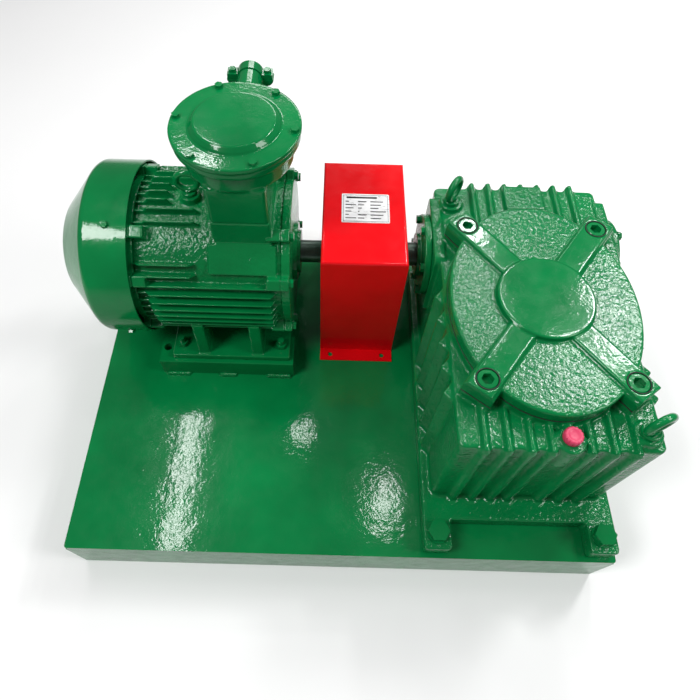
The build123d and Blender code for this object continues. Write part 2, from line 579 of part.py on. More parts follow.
# ---------------------------------------------------------------- motor: terminal box
BOX_WALL, BOX_CORNER_R, BOX_NECK, BOX_NECK_R, BOX_ROOM_HALF = 10.0, 8.0, 34.0, 60.0, 68.0
GLAND_BOSS_R, GLAND_BOSS_REACH, BOX_OUTLET_R = 34.0, 14.0, 18.0
LID_BOLT, LID_BOLT_R, LID_BOLTS, LID_BOLT_TURN, LID_BOLT_SHANK = 8.0, 103.0, 6, -8.0, 22.0
LID_OVERHANG = 2.0
LID_HOLE = 2 * (LID_BOLT_SHANK + AIR)
with BuildPart() as terminal_box:
    with BuildSketch(Plane.XY.offset(BOX_SEAT)):
        with Locations((BOX_X, DRIVE_Y)):
            RectangleRounded(*BOX_SADDLE, BOX_CORNER_R)
    extrude(amount=BOX_SHOULDER - BOX_SEAT)
    with BuildSketch(Plane.XY.offset(BOX_SHOULDER - BOX_NECK)):
        with Locations((BOX_X, DRIVE_Y)):
            Circle(BOX_NECK_R)
    with BuildSketch(Plane.XY.offset(BOX_SHOULDER)):
        with Locations((BOX_X, DRIVE_Y)):
            Circle(BOX_R)
    loft()
    with BuildSketch(Plane.XY.offset(BOX_SHOULDER)):
        with Locations((BOX_X, DRIVE_Y)):
            Circle(BOX_R)
    extrude(amount=BOX_FLANGE - BOX_SHOULDER)
    with BuildSketch(Plane.XY.offset(BOX_FLANGE)):
        with Locations((BOX_X, DRIVE_Y)):
            Circle(BOX_FLANGE_R - LID_OVERHANG)
    extrude(amount=LID_SEAT - BOX_FLANGE)
    with Locations((BOX_X, DRIVE_Y, GLAND_Z)):
        Cylinder(GLAND_BOSS_R, BOX_R + GLAND_BOSS_REACH, rotation=(-90, 0, 0), align=MIN_Z)
    with BuildSketch(Plane.XY.offset(LID_SEAT)):
        with Locations((BOX_X, DRIVE_Y)):
            Circle(BOX_R - BOX_WALL)
    extrude(amount=BOX_SHOULDER - LID_SEAT, mode=Mode.SUBTRACT)
    with BuildSketch(Plane.XY.offset(BOX_SEAT)):
        with Locations((BOX_X, DRIVE_Y)):
            Rectangle(BOX_SADDLE[0] - 2 * BOX_WALL, 2 * BOX_ROOM_HALF)
    extrude(amount=BOX_SHOULDER - BOX_SEAT, mode=Mode.SUBTRACT)
    with Locations((BOX_X, DRIVE_Y, GLAND_Z)):
        Cylinder(
            BOX_OUTLET_R, BOX_R + GLAND_BOSS_REACH, rotation=(-90, 0, 0), align=MIN_Z, mode=Mode.SUBTRACT,
        )
    with Locations((BOX_X, DRIVE_Y, LID_SEAT)):
        with PolarLocations(LID_BOLT_R, LID_BOLTS, start_angle=LID_BOLT_TURN):
            Cylinder(LID_BOLT / 2, LID_HOLE, mode=Mode.SUBTRACT)
save(terminal_box, "terminal_box_body")

LID_FLANGE, LID_DISC_R, LID_BEVEL = 10.0, 78.0, 8.0
with BuildPart() as terminal_lid:
    with BuildSketch(Plane.XY.offset(LID_SEAT)):
        with Locations((BOX_X, DRIVE_Y)):
            Circle(BOX_FLANGE_R)
    extrude(amount=LID_FLANGE)
    with BuildSketch(Plane.XY.offset(LID_SEAT + LID_FLANGE)):
        with Locations((BOX_X, DRIVE_Y)):
            Circle(LID_DISC_R)
    extrude(amount=LID_TOP - LID_SEAT - LID_FLANGE)
    chamfer(terminal_lid.faces().sort_by(Axis.Z)[-1].edges(), LID_BEVEL)
    with Locations((BOX_X, DRIVE_Y, LID_SEAT)):
        with PolarLocations(LID_BOLT_R, LID_BOLTS, start_angle=LID_BOLT_TURN):
            Cylinder(LID_BOLT / 2, LID_HOLE, mode=Mode.SUBTRACT)
save(terminal_lid, "terminal_box_lid")

lid_bolt = hex_bolt(LID_BOLT, LID_BOLT_SHANK)
with BuildPart() as lid_bolts:
    with Locations((BOX_X, DRIVE_Y, LID_SEAT + LID_FLANGE)):
        with PolarLocations(LID_BOLT_R, LID_BOLTS, start_angle=LID_BOLT_TURN):
            add(lid_bolt)
save(lid_bolts, "terminal_box_lid_bolts")

# terminal board over the cable way, with six connection studs
BOARD, BOARD_CORNER_R = (78.0, 108.0, 12.0), 6.0
TERMINAL_PITCH, TERMINAL_STUD, TERMINAL_NUT = (36.0, 34.0), (4.0, 30.0), (7.5, 6.0)
with BuildPart() as terminal_board:
    with Locations((BOX_X, DRIVE_Y, BOX_SEAT)):
        Box(*BOARD, align=MIN_Z)
    fillet(terminal_board.edges().filter_by(Axis.Z), BOARD_CORNER_R)
save(terminal_board, "terminal_board")
with BuildPart() as terminal_studs:
    with Locations((BOX_X, DRIVE_Y, BOX_SEAT + BOARD[2])):
        with GridLocations(*TERMINAL_PITCH, 2, 3):
            Cylinder(*TERMINAL_STUD, align=MIN_Z)
            Cylinder(*TERMINAL_NUT, align=MIN_Z)
save(terminal_studs, "terminal_studs")

# cable gland on the back of the box: screwed body, then a saddle clamp held by two bolts
gland_start = DRIVE_Y + BOX_R + GLAND_BOSS_REACH
GLAND_BODY, GLAND_BORE_R, GLAND_TUBE_R, CLAMP_WIDTH = 92.0, 17.0, 24.0, 22.0
GLAND_FLANGE, GLAND_FLANGE_SIZE, GLAND_HEX, GLAND_HEX_R = 14.0, (110.0, 44.0), 18.0, 27.0
GLAND_CLAMP_SIZE, CLAMP_R, CLAMP_EAR = (92.0, 30.0), 26.0, (20.0, 10.0)
CLAMP_BOLT, CLAMP_BOLT_SHANK, FLANGE_BOLT, GLAND_HOLE = 8.0, 22.0, 10.0, 60.0
gland_hex_end = gland_start + GLAND_FLANGE + GLAND_HEX


def gland_plane(y):
    """Plane across the gland's axis at y, facing +Y, with its own x along +X and y along -Z."""
    return Plane(origin=(BOX_X, y, GLAND_Z), x_dir=(1, 0, 0), z_dir=(0, 1, 0))


clamp_y = gland_start + GLAND_BODY
clamp_middle = clamp_y + CLAMP_WIDTH / 2
CLAMP_BOLT_X, FLANGE_BOLT_X = 34.0, 43.0
clamp_bolt_spots = [(BOX_X + side * CLAMP_BOLT_X, clamp_middle, GLAND_Z) for side in (-1, 1)]
with BuildPart() as cable_gland:
    with BuildSketch(gland_plane(gland_start)):
        SlotOverall(*GLAND_FLANGE_SIZE)
    extrude(amount=GLAND_FLANGE)
    with BuildSketch(gland_plane(gland_start + GLAND_FLANGE)):
        RegularPolygon(radius=GLAND_HEX_R, side_count=6, major_radius=False)
    extrude(amount=GLAND_HEX)
    with BuildSketch(gland_plane(gland_hex_end)):
        Circle(GLAND_TUBE_R)
    extrude(amount=clamp_y - gland_hex_end)
    with BuildSketch(gland_plane(clamp_y)):
        SlotOverall(*GLAND_CLAMP_SIZE)
        with Locations((0, -GLAND_CLAMP_SIZE[0] / 2)):
            Rectangle(GLAND_CLAMP_SIZE[0], GLAND_CLAMP_SIZE[0], mode=Mode.SUBTRACT)
    extrude(amount=CLAMP_WIDTH)
    with BuildSketch(gland_plane(gland_start)):
        Circle(GLAND_BORE_R)
    extrude(amount=GLAND_BODY + CLAMP_WIDTH, mode=Mode.SUBTRACT)
    with BuildSketch(gland_plane(gland_start)):
        with Locations((-FLANGE_BOLT_X, 0), (FLANGE_BOLT_X, 0)):
            Circle(FLANGE_BOLT / 2)
    extrude(amount=GLAND_FLANGE, mode=Mode.SUBTRACT)
    with Locations(*clamp_bolt_spots):
        Cylinder(CLAMP_BOLT / 2, GLAND_HOLE, mode=Mode.SUBTRACT)
save(cable_gland, "cable_gland")

with BuildPart() as gland_clamp:
    with BuildSketch(gland_plane(clamp_y)):
        Circle(CLAMP_R)
        Circle(GLAND_BORE_R, mode=Mode.SUBTRACT)
        with Locations((0, CLAMP_R - FIT)):
            Rectangle(2 * CLAMP_R, 2 * CLAMP_R, mode=Mode.SUBTRACT)
    extrude(amount=CLAMP_WIDTH)
    with BuildSketch(gland_plane(clamp_y)):
        with Locations(*[(side * CLAMP_BOLT_X, -CLAMP_EAR[1] / 2) for side in (-1, 1)]):
            Rectangle(*CLAMP_EAR)
    extrude(amount=CLAMP_WIDTH)
    with Locations(*clamp_bolt_spots):
        Cylinder(CLAMP_BOLT / 2, GLAND_HOLE, mode=Mode.SUBTRACT)
save(gland_clamp, "cable_gland_clamp")

clamp_bolt = hex_bolt(CLAMP_BOLT, CLAMP_BOLT_SHANK)
flange_bolt = hex_bolt(FLANGE_BOLT, GLAND_FLANGE)
flange_face = gland_plane(gland_start + GLAND_FLANGE).location
with BuildPart() as gland_bolts:
    with Locations(*[Pos(*spot) * Pos(0, 0, CLAMP_EAR[1]) for spot in clamp_bolt_spots]):
        add(clamp_bolt)
    with Locations(*[flange_face * Pos(side * FLANGE_BOLT_X, 0, 0) for side in (-1, 1)]):
        add(flange_bolt)
save(gland_bolts, "cable_gland_bolts")

# ---------------------------------------------------------------- motor: turning pieces
KEY_WIDTH, KEY_HEIGHT, KEY_RISE, KEY_INSET = 14.0, 9.0, 3.0, 4.0
KEY_ALIGN = (Align.MIN, Align.CENTER, Align.MAX)
motor_shaft_end = JAW_START - KEY_INSET
motor_key_start = MOTOR_HUB_START + KEY_INSET
motor_key_size = (motor_shaft_end - motor_key_start - KEY_INSET, KEY_WIDTH, KEY_HEIGHT)
FAN_SEAT_R, FAN_START, FAN_WIDTH = 20.0, -506.0, 52.0
CORE_SEAT_R, CORE_SEAT_OVERHANG, SEAT_SHOULDER, SHAFT_BEVEL = 36.0, 10.0, 12.0, 1.5
core_seat_start, core_seat_end = CORE_START - CORE_SEAT_OVERHANG, CORE_END + CORE_SEAT_OVERHANG
motor_shaft_steps = (
    (FAN_START, REAR_BEARING_X - SEAT_SHOULDER, FAN_SEAT_R),
    (REAR_BEARING_X - SEAT_SHOULDER, core_seat_start, MOTOR_BEARING[0]),
    (core_seat_start, core_seat_end, CORE_SEAT_R), (core_seat_end, front_face - 1, MOTOR_BEARING[0]),
    (front_face - 1, motor_shaft_end, MOTOR_SHAFT_R),
)
with BuildPart() as motor_shaft:
    add(turned(drive_plane, motor_shaft_steps).part)
    with Locations((motor_key_start, DRIVE_Y, DRIVE_Z + MOTOR_SHAFT_R + KEY_RISE)):
        Box(*motor_key_size, align=KEY_ALIGN, mode=Mode.SUBTRACT)
    chamfer(motor_shaft.faces().sort_by(Axis.X)[-1].edges().filter_by(GeomType.CIRCLE), SHAFT_BEVEL)
save(motor_shaft, "motor_shaft")

with BuildPart() as motor_key:
    with Locations((motor_key_start, DRIVE_Y, DRIVE_Z + MOTOR_SHAFT_R + KEY_RISE)):
        Box(*motor_key_size, align=KEY_ALIGN)
save(motor_key, "motor_shaft_key")

ROTOR_VENT_R, ROTOR_VENT_CIRCLE_R, ROTOR_VENTS = 9.0, 56.0, 8
END_RING, END_RING_INSET, END_RING_WIDTH = 9.0, 3.0, 21.0
with BuildPart() as rotor_core:
    with BuildSketch(drive_plane(CORE_START)):
        Circle(ROTOR_R)
        Circle(CORE_SEAT_R + FIT, mode=Mode.SUBTRACT)
        with PolarLocations(ROTOR_VENT_CIRCLE_R, ROTOR_VENTS):
            Circle(ROTOR_VENT_R, mode=Mode.SUBTRACT)
    extrude(amount=CORE_END - CORE_START)
with BuildPart() as rotor_end_rings:
    for start in (CORE_START - END_RING, CORE_END):
        with BuildSketch(drive_plane(start)):
            Circle(ROTOR_R - END_RING_INSET)
            Circle(ROTOR_R - END_RING_INSET - END_RING_WIDTH, mode=Mode.SUBTRACT)
        extrude(amount=END_RING)
save(merged(rotor_core.part, rotor_end_rings.part), "motor_rotor_core")

FAN_R, FAN_BLADES, FAN_HUB_R, FAN_SHEET, FAN_BLADE = 150.0, 9, 34.0, 6.0, 4.0
with BuildPart() as cooling_fan:
    with BuildSketch(drive_plane(FAN_START)):
        Circle(FAN_HUB_R)
    extrude(amount=FAN_WIDTH)
    with BuildSketch(drive_plane(FAN_START + FAN_WIDTH - FAN_SHEET)):
        Circle(FAN_R)
    extrude(amount=FAN_SHEET)
    with BuildSketch(drive_plane(FAN_START + FAN_SHEET)):
        with PolarLocations((FAN_HUB_R + FAN_R) / 2 - 1, FAN_BLADES):
            Rectangle(FAN_R - FAN_HUB_R, FAN_BLADE)
    extrude(amount=FAN_WIDTH - FAN_SHEET)
    with BuildSketch(drive_plane(FAN_START)):
        Circle(FAN_SEAT_R + FIT)
    extrude(amount=FAN_WIDTH, mode=Mode.SUBTRACT)
save(cooling_fan, "motor_cooling_fan")

# ---------------------------------------------------------------- coupling and guard
JAWS, JAW_ANGLE, LOBE_ANGLE, JAW_INNER_R, JAW_FLANGE = 3, 38.0, 17.0, 26.0, 22.0
SPIDER_BORE_R, SPIDER_AIR = 12.0, 1.0
input_shaft_end = JAW_END + 6


def sector(inner, outer, angle, middle):
    """Annular sector centred on the direction middle (degrees)."""
    first, mid, last = (math.radians(middle + offset) for offset in (-angle / 2, 0, angle / 2))

    def at(radius, where):
        return (radius * math.cos(where), radius * math.sin(where))

    with BuildSketch() as wedge:
        with BuildLine():
            ThreePointArc(at(outer, first), at(outer, mid), at(outer, last))
            Line(at(outer, last), at(inner, last))
            ThreePointArc(at(inner, last), at(inner, mid), at(inner, first))
            Line(at(inner, first), at(outer, first))
        make_face()
    return wedge.sketch


def coupling_half(hub_end, jaw_root, jaw_tip, first_jaw, bore):
    """Jaw coupling half: hub from hub_end, flange ending at jaw_root and three jaws reaching jaw_tip."""
    towards = math.copysign(1, jaw_tip - hub_end)
    jaws = [sector(JAW_INNER_R, JAW_R, JAW_ANGLE, first_jaw + index * 360 / JAWS) for index in range(JAWS)]
    with BuildPart() as half:
        with BuildSketch(drive_plane(hub_end)):
            Circle(HUB_R)
        extrude(amount=jaw_root - hub_end)
        with BuildSketch(drive_plane(jaw_root)):
            Circle(JAW_R)
        extrude(amount=-towards * JAW_FLANGE)
        with BuildSketch(drive_plane(jaw_root)):
            add(jaws)
        extrude(amount=jaw_tip - jaw_root)
        with BuildSketch(drive_plane(hub_end)):
            Circle(bore + FIT)
            with Locations((0, bore / 2 + KEY_RISE)):
                Rectangle(KEY_WIDTH + 2 * FIT, bore + KEY_HEIGHT / 2)
        extrude(amount=jaw_root - hub_end, mode=Mode.SUBTRACT)
    return half


motor_half = coupling_half(MOTOR_HUB_START, JAW_START, JAW_END - AIR, 90, MOTOR_SHAFT_R)
save(motor_half, "coupling_motor_half")
gear_half = coupling_half(GEAR_HUB_END, JAW_END, JAW_START + AIR, 30, INPUT_R)
save(gear_half, "coupling_gearbox_half")

spider_lobes = [
    sector(JAW_INNER_R / 2 + SPIDER_AIR, JAW_R - 2 * SPIDER_AIR, LOBE_ANGLE, index * 180 / JAWS)
    for index in range(2 * JAWS)
]
with BuildPart() as coupling_spider:
    with BuildSketch(drive_plane(JAW_START + SPIDER_AIR)):
        Circle(JAW_INNER_R - 2 * SPIDER_AIR)
        add(spider_lobes)
        Circle(SPIDER_BORE_R, mode=Mode.SUBTRACT)
    extrude(amount=JAW_END - JAW_START - 2 * SPIDER_AIR)
save(coupling_spider, "coupling_spider")

guard_length = GUARD_X[1] - GUARD_X[0]
guard_width = GUARD_Y[1] - GUARD_Y[0]
guard_centre = ((GUARD_X[0] + GUARD_X[1]) / 2, (GUARD_Y[0] + GUARD_Y[1]) / 2)
SHAFT_SLOT_R, FLANGE_HOLE_R, FLANGE_HOLE_INSET, GUARD_CORNER_R = 52.0, 5.5, 24.0, 5.0
with BuildPart() as coupling_guard:
    with Locations((*guard_centre, DECK)):
        Box(guard_length, guard_width, GUARD_TOP - DECK, align=MIN_Z)
    fillet(coupling_guard.edges().filter_by(Axis.Z, reverse=True).group_by(Axis.Z)[-1], GUARD_CORNER_R)
    with Locations((*guard_centre, DECK)):
        Box(
            guard_length - 2 * GUARD_SHEET, guard_width - 2 * GUARD_SHEET, GUARD_TOP - DECK - GUARD_SHEET,
            align=MIN_Z, mode=Mode.SUBTRACT,
        )
    with BuildSketch(drive_plane(GUARD_X[0])):
        Circle(SHAFT_SLOT_R)
        with Locations((0, (DECK - DRIVE_Z) / 2)):
            Rectangle(2 * SHAFT_SLOT_R, DRIVE_Z - DECK)
    extrude(amount=guard_length, mode=Mode.SUBTRACT)
    for side in (-1, 1):
        edge_y = GUARD_Y[0] if side < 0 else GUARD_Y[1]
        with Locations((guard_centre[0], edge_y + side * (GUARD_FLANGE - GUARD_SHEET) / 2, DECK)):
            Box(guard_length, GUARD_FLANGE + GUARD_SHEET, GUARD_SHEET, align=MIN_Z)
        with Locations(
            (GUARD_X[0] + FLANGE_HOLE_INSET, edge_y + side * GUARD_FLANGE / 2, DECK),
            (GUARD_X[1] - FLANGE_HOLE_INSET, edge_y + side * GUARD_FLANGE / 2, DECK),
        ):
            Cylinder(FLANGE_HOLE_R, 4 * GUARD_SHEET, mode=Mode.SUBTRACT)
save(coupling_guard, "coupling_guard")

NAMEPLATE_CENTRE, NAMEPLATE_SIZE, NAMEPLATE_CORNER_R, NAMEPLATE_SHEET = (34.0, 221.5), (98.0, 79.0), 3.0, 1.0
with BuildPart() as guard_nameplate:
    with BuildSketch(Plane.XY.offset(GUARD_TOP)):
        with Locations(NAMEPLATE_CENTRE):
            RectangleRounded(*NAMEPLATE_SIZE, NAMEPLATE_CORNER_R)
    extrude(amount=NAMEPLATE_SHEET)
save(guard_nameplate, "guard_nameplate")

# ---------------------------------------------------------------- gearbox: housing and cover
SIDE_FINS_Y = (-165, -114.5, -64, -13.5, 37)
FRONT_RIBS_X = (-128, -90, -52, -18, 46, 84, 122)
REAR_RIBS_X = (-91, -56, -21, 14, 49, 84, 119)
FIN_BASE, FIN_RIDGE, FIN_DROP = 40.0, 17.0, 8.0
RIB_WIDTH, RIB_HEIGHT = 12.0, 9.0
FIN_FOOT = DECK + FOOT_THICKNESS
PLUG_X, PLUG_Y, PLUG_BOSS_TOP = 11.0, -254.0, 464.0
REAR_EYE, FRONT_EYE = (-141.0, 266.0), (142.0, -238.0)
EYE_BOSS_TOP, EYE_SHANK_R, EYE_SHANK = BODY_TOP + 12, 12.0, 20.0
CAP_BOLT, CAP_BOLT_R, CAP_FLANGE_R = 10.0, 76.0, 86.0
OUTPUT_CAP_R, OUTPUT_CAP_BOLT_R, LOWER_BOSS_R, LOWER_BOSS_TOP = 97.0, 88.5, 97.0, 212.0
SEAT_BOSS_R, SEAT_BOSS_INNER = 80.0, 118.0
PLUG_R, PLUG_HOLE, PLUG_HOLE_SHIFT = 10.0, 80.0, 3.0
BODY_CORNER_R, BODY_TOP_R, FLANGE_OVERHANG, FOOT_CORNER_R = 12.0, 5.0, (3.0, 11.0), 8.0
RIB_RISE, RIB_FLANK, RIB_SINK = 12.0, 4.0, 3.0  # the upright ribs of the front and rear walls
FRONT_BAR_END, REAR_BAR_START, BAR_OVERHANG = 190.0, 185.0, 8.0
PATCH, PATCH_CENTRE = (82.0, 64.0, 11.0), (14.0, 284.0)
PLUG_BOSS_R, PLUG_BOSS_SINK, EYE_BOSS_R, EYE_BOSS_SINK, DRAIN_BOSS = 25.0, 60.0, 24.0, 10.0, (23.0, 30.0)
FLANGE_SINK, PAD_SINK, PAD_CORNER_R, FLOOR, ROOF, LOWER_LIP, SEAT_LIP = 4.0, 10.0, 14.0, 25.0, 16.0, 14.0, 3.0
CAP_BOLTS, CAP_BOLT_TURN, CAP_BOLT_DEPTH, OUTPUT_BOLT_DEPTH = 6, 30.0, 26.0, 24.0
COVER_BOLT, COVER_BOLT_DEPTH, COVER_BOLT_GRIP = 24.0, 28.0, 26.0
body_length = BODY_FRONT + BODY_REAR
body_middle = (BODY_REAR - BODY_FRONT) / 2
cover_bolts_xy = [(sx * COVER_BOLT_X, sy * COVER_BOLT_Y) for sx in (-1, 1) for sy in (-1, 1)]
foot_bolts_xy = [(sx * FOOT_BOLT_X, sy * FOOT_BOLT_Y) for sx in (-1, 1) for sy in (-1, 1)]
lobe_reach = math.hypot(COVER_BOLT_X, COVER_BOLT_Y) + LOBE_OVERHANG
lobe_angle = math.degrees(math.atan2(COVER_BOLT_Y, COVER_BOLT_X))


def gear_at(x, y, z):
    """Location at (x, y) measured from the wheel axis, at height z."""
    return Location((GEARBOX_X + x, WHEEL_Y + y, z))


DRAIN_POINT, LEVEL_POINT = (-4.0, BODY_REAR + 14.0, 200.0), (BODY_HALF_X, -222.0, 300.0)
drain_seat = gear_at(*DRAIN_POINT) * Rot(-90, 0, 0)
level_seat = gear_at(*LEVEL_POINT) * Rot(0, 90, 0)
filler_seat = gear_at(PLUG_X, PLUG_Y + PLUG_HOLE_SHIFT, PLUG_BOSS_TOP)


def spokes(width):
    """Two crossed bars from bolt to bolt, on the current sketch."""
    for angle in (lobe_angle, -lobe_angle):
        Rectangle(2 * lobe_reach, width, rotation=angle)


def cover_outline():
    """Oval with a lobe at each cover bolt, on the current sketch."""
    Ellipse(COVER_HALF_X, COVER_HALF_Y)
    spokes(LOBE_WIDTH)


def side_plane(x_side):
    """Plane across the worm axis on the wheel's centre plane, facing outwards on the side x_side."""
    return Plane(origin=(GEARBOX_X, DRIVE_Y, DRIVE_Z), x_dir=(0, x_side, 0), z_dir=(x_side, 0, 0))


def rounded_bar(length):
    """Cast rib lying along +Y from the origin, flat underneath and round on top."""
    with BuildPart() as bar:
        with BuildSketch(Plane.XZ):
            with Locations((0, RIB_HEIGHT - RIB_WIDTH / 2)):
                Rectangle(RIB_WIDTH, RIB_HEIGHT, align=(Align.CENTER, Align.MAX))
                Circle(RIB_WIDTH / 2)
        extrude(amount=-length)
    return bar.part


bar_front = rounded_bar(BODY_FRONT + BAR_OVERHANG - FRONT_BAR_END)
bar_rear = rounded_bar(BODY_REAR + BAR_OVERHANG - REAR_BAR_START)
with BuildPart() as gearbox_housing:
    # cast box with its base flange and foot rails
    with BuildSketch(wheel_plane(DECK)):
        with Locations((0, body_middle)):
            RectangleRounded(2 * BODY_HALF_X, body_length, BODY_CORNER_R)
    extrude(amount=BODY_TOP - DECK)
    fillet(gearbox_housing.faces().sort_by(Axis.Z)[-1].edges(), BODY_TOP_R)
    with BuildSketch(wheel_plane(DECK)):
        with Locations((0, body_middle / 2)):
            Rectangle(2 * (BODY_HALF_X + FLANGE_OVERHANG[0]), 2 * (BODY_REAR + FLANGE_OVERHANG[1]))
        for side in (-1, 1):
            with Locations((side * (FOOT_INNER + FOOT_OUTER) / 2, 0)):
                RectangleRounded(FOOT_OUTER - FOOT_INNER, 2 * FOOT_REACH, FOOT_CORNER_R)
    extrude(amount=FOOT_THICKNESS)
    # vertical vee fins on both flanks, front and rear
    for side in (-1, 1):
        for fin_y in SIDE_FINS_Y:
            with BuildSketch(wheel_plane(FIN_FOOT)):
                with Locations((side * (BODY_HALF_X - 1), fin_y)):
                    Polygon((0, -FIN_BASE / 2), (side * (FIN_RIDGE + 1), 0), (0, FIN_BASE / 2), align=None)
            extrude(amount=BODY_TOP - FIN_DROP - FIN_FOOT)
    for ribs, face, side in ((FRONT_RIBS_X, BODY_FRONT, -1), (REAR_RIBS_X, BODY_REAR, 1)):
        for rib_x in ribs:
            with BuildSketch(wheel_plane(FIN_FOOT - RIB_SINK)):
                with Locations((rib_x, side * (face - 1))):
                    Polygon(
                        (-RIB_WIDTH, 0), (-RIB_FLANK, side * RIB_RISE), (RIB_FLANK, side * RIB_RISE),
                        (RIB_WIDTH, 0), align=None,
                    )
            extrude(amount=BODY_TOP + RIB_SINK - FIN_FOOT)
    # round ribs across the top, front and rear
    with Locations(*[gear_at(rib_x, -BODY_FRONT - BAR_OVERHANG, BODY_TOP) for rib_x in FRONT_RIBS_X]):
        add(bar_front)
    with Locations(*[gear_at(rib_x, REAR_BAR_START, BODY_TOP) for rib_x in REAR_RIBS_X]):
        add(bar_rear)
    with Locations(gear_at(*PATCH_CENTRE, BODY_TOP)):
        Box(*PATCH, align=MIN_Z)
    # bosses for the plug and the lifting eyes
    with Locations(gear_at(PLUG_X, PLUG_Y, BODY_TOP - PLUG_BOSS_SINK)):
        Cylinder(PLUG_BOSS_R, PLUG_BOSS_TOP - BODY_TOP + PLUG_BOSS_SINK, align=MIN_Z)
    with Locations(*[gear_at(*spot, BODY_TOP - EYE_BOSS_SINK) for spot in (REAR_EYE, FRONT_EYE)]):
        Cylinder(EYE_BOSS_R, EYE_BOSS_TOP - BODY_TOP + EYE_BOSS_SINK, align=MIN_Z)
    with Locations(drain_seat):
        Cylinder(*DRAIN_BOSS, align=MAX_Z)
    # raised cover flange
    with BuildSketch(wheel_plane(BODY_TOP - FLANGE_SINK)):
        cover_outline()
    extrude(amount=FLANGE_TOP - BODY_TOP + FLANGE_SINK)
    # square pads round the worm bores
    for side in (-1, 1):
        with BuildSketch(side_plane(side).offset(BODY_HALF_X - PAD_SINK)):
            RectangleRounded(2 * BOSS_HALF, 2 * BOSS_HALF, PAD_CORNER_R)
        extrude(amount=BOSS_FACE - BODY_HALF_X + PAD_SINK)
    # oil space and cover opening
    with Locations(gear_at(0, body_middle, DECK + FLOOR)):
        Box(
            2 * (BODY_HALF_X - WALL), body_length - 2 * WALL, BODY_TOP - ROOF - DECK - FLOOR,
            align=MIN_Z, mode=Mode.SUBTRACT,
        )
    with Locations(gear_at(0, 0, BODY_TOP)):
        Cylinder(OPENING_R, 4 * ROOF, mode=Mode.SUBTRACT)
    # bearing seats of the worm, and of the output shaft below the wheel
    for side in (-1, 1):
        with BuildSketch(side_plane(side).offset(SEAT_BOSS_INNER)):
            Circle(SEAT_BOSS_R)
        extrude(amount=BODY_HALF_X - SEAT_BOSS_INNER)
        with BuildSketch(side_plane(side).offset(WORM_BEARING_X)):
            Circle(WORM_BEARING[1] + FIT)
        extrude(amount=BOSS_FACE - WORM_BEARING_X, mode=Mode.SUBTRACT)
        with BuildSketch(side_plane(side).offset(SEAT_BOSS_INNER)):
            Circle(WORM_BEARING[1] - SEAT_LIP)
        extrude(amount=WORM_BEARING_X - SEAT_BOSS_INNER, mode=Mode.SUBTRACT)
        with BuildSketch(side_plane(side).offset(BOSS_FACE)):
            with PolarLocations(CAP_BOLT_R, CAP_BOLTS, start_angle=CAP_BOLT_TURN):
                Circle(CAP_BOLT / 2)
        extrude(amount=-CAP_BOLT_DEPTH, mode=Mode.SUBTRACT)
    with BuildSketch(wheel_plane(DECK)):
        Circle(LOWER_BOSS_R)
    extrude(amount=LOWER_BOSS_TOP - DECK)
    with BuildSketch(wheel_plane(DECK)):
        Circle(LOWER_BEARING[1] + FIT)
    extrude(amount=LOWER_BEARING_Z + LOWER_BEARING[2] - DECK, mode=Mode.SUBTRACT)
    with BuildSketch(wheel_plane(DECK)):
        Circle(LOWER_BEARING[1] - LOWER_LIP)
    extrude(amount=LOWER_BOSS_TOP - DECK, mode=Mode.SUBTRACT)
    # fastener and plug holes
    with Locations(*[gear_at(x, y, FLANGE_TOP) for x, y in cover_bolts_xy]):
        Cylinder(COVER_BOLT / 2, 2 * COVER_BOLT_DEPTH, mode=Mode.SUBTRACT)
    with Locations(*[gear_at(x, y, DECK) for x, y in foot_bolts_xy]):
        Cylinder(FOOT_BOLT / 2, 4 * FOOT_THICKNESS, mode=Mode.SUBTRACT)
    with BuildSketch(wheel_plane(DECK)):
        with PolarLocations(OUTPUT_CAP_BOLT_R, CAP_BOLTS):
            Circle(CAP_BOLT / 2)
    extrude(amount=OUTPUT_BOLT_DEPTH, mode=Mode.SUBTRACT)
    with Locations(gear_at(*REAR_EYE, EYE_BOSS_TOP), gear_at(*FRONT_EYE, EYE_BOSS_TOP)):
        Cylinder(EYE_SHANK_R, EYE_SHANK, align=MAX_Z, mode=Mode.SUBTRACT)
    with Locations(filler_seat):
        Cylinder(PLUG_R, PLUG_HOLE, align=MAX_Z, mode=Mode.SUBTRACT)
    with Locations(drain_seat, level_seat):
        Cylinder(PLUG_R, PLUG_HOLE, mode=Mode.SUBTRACT)
save(gearbox_housing, "gearbox_housing")

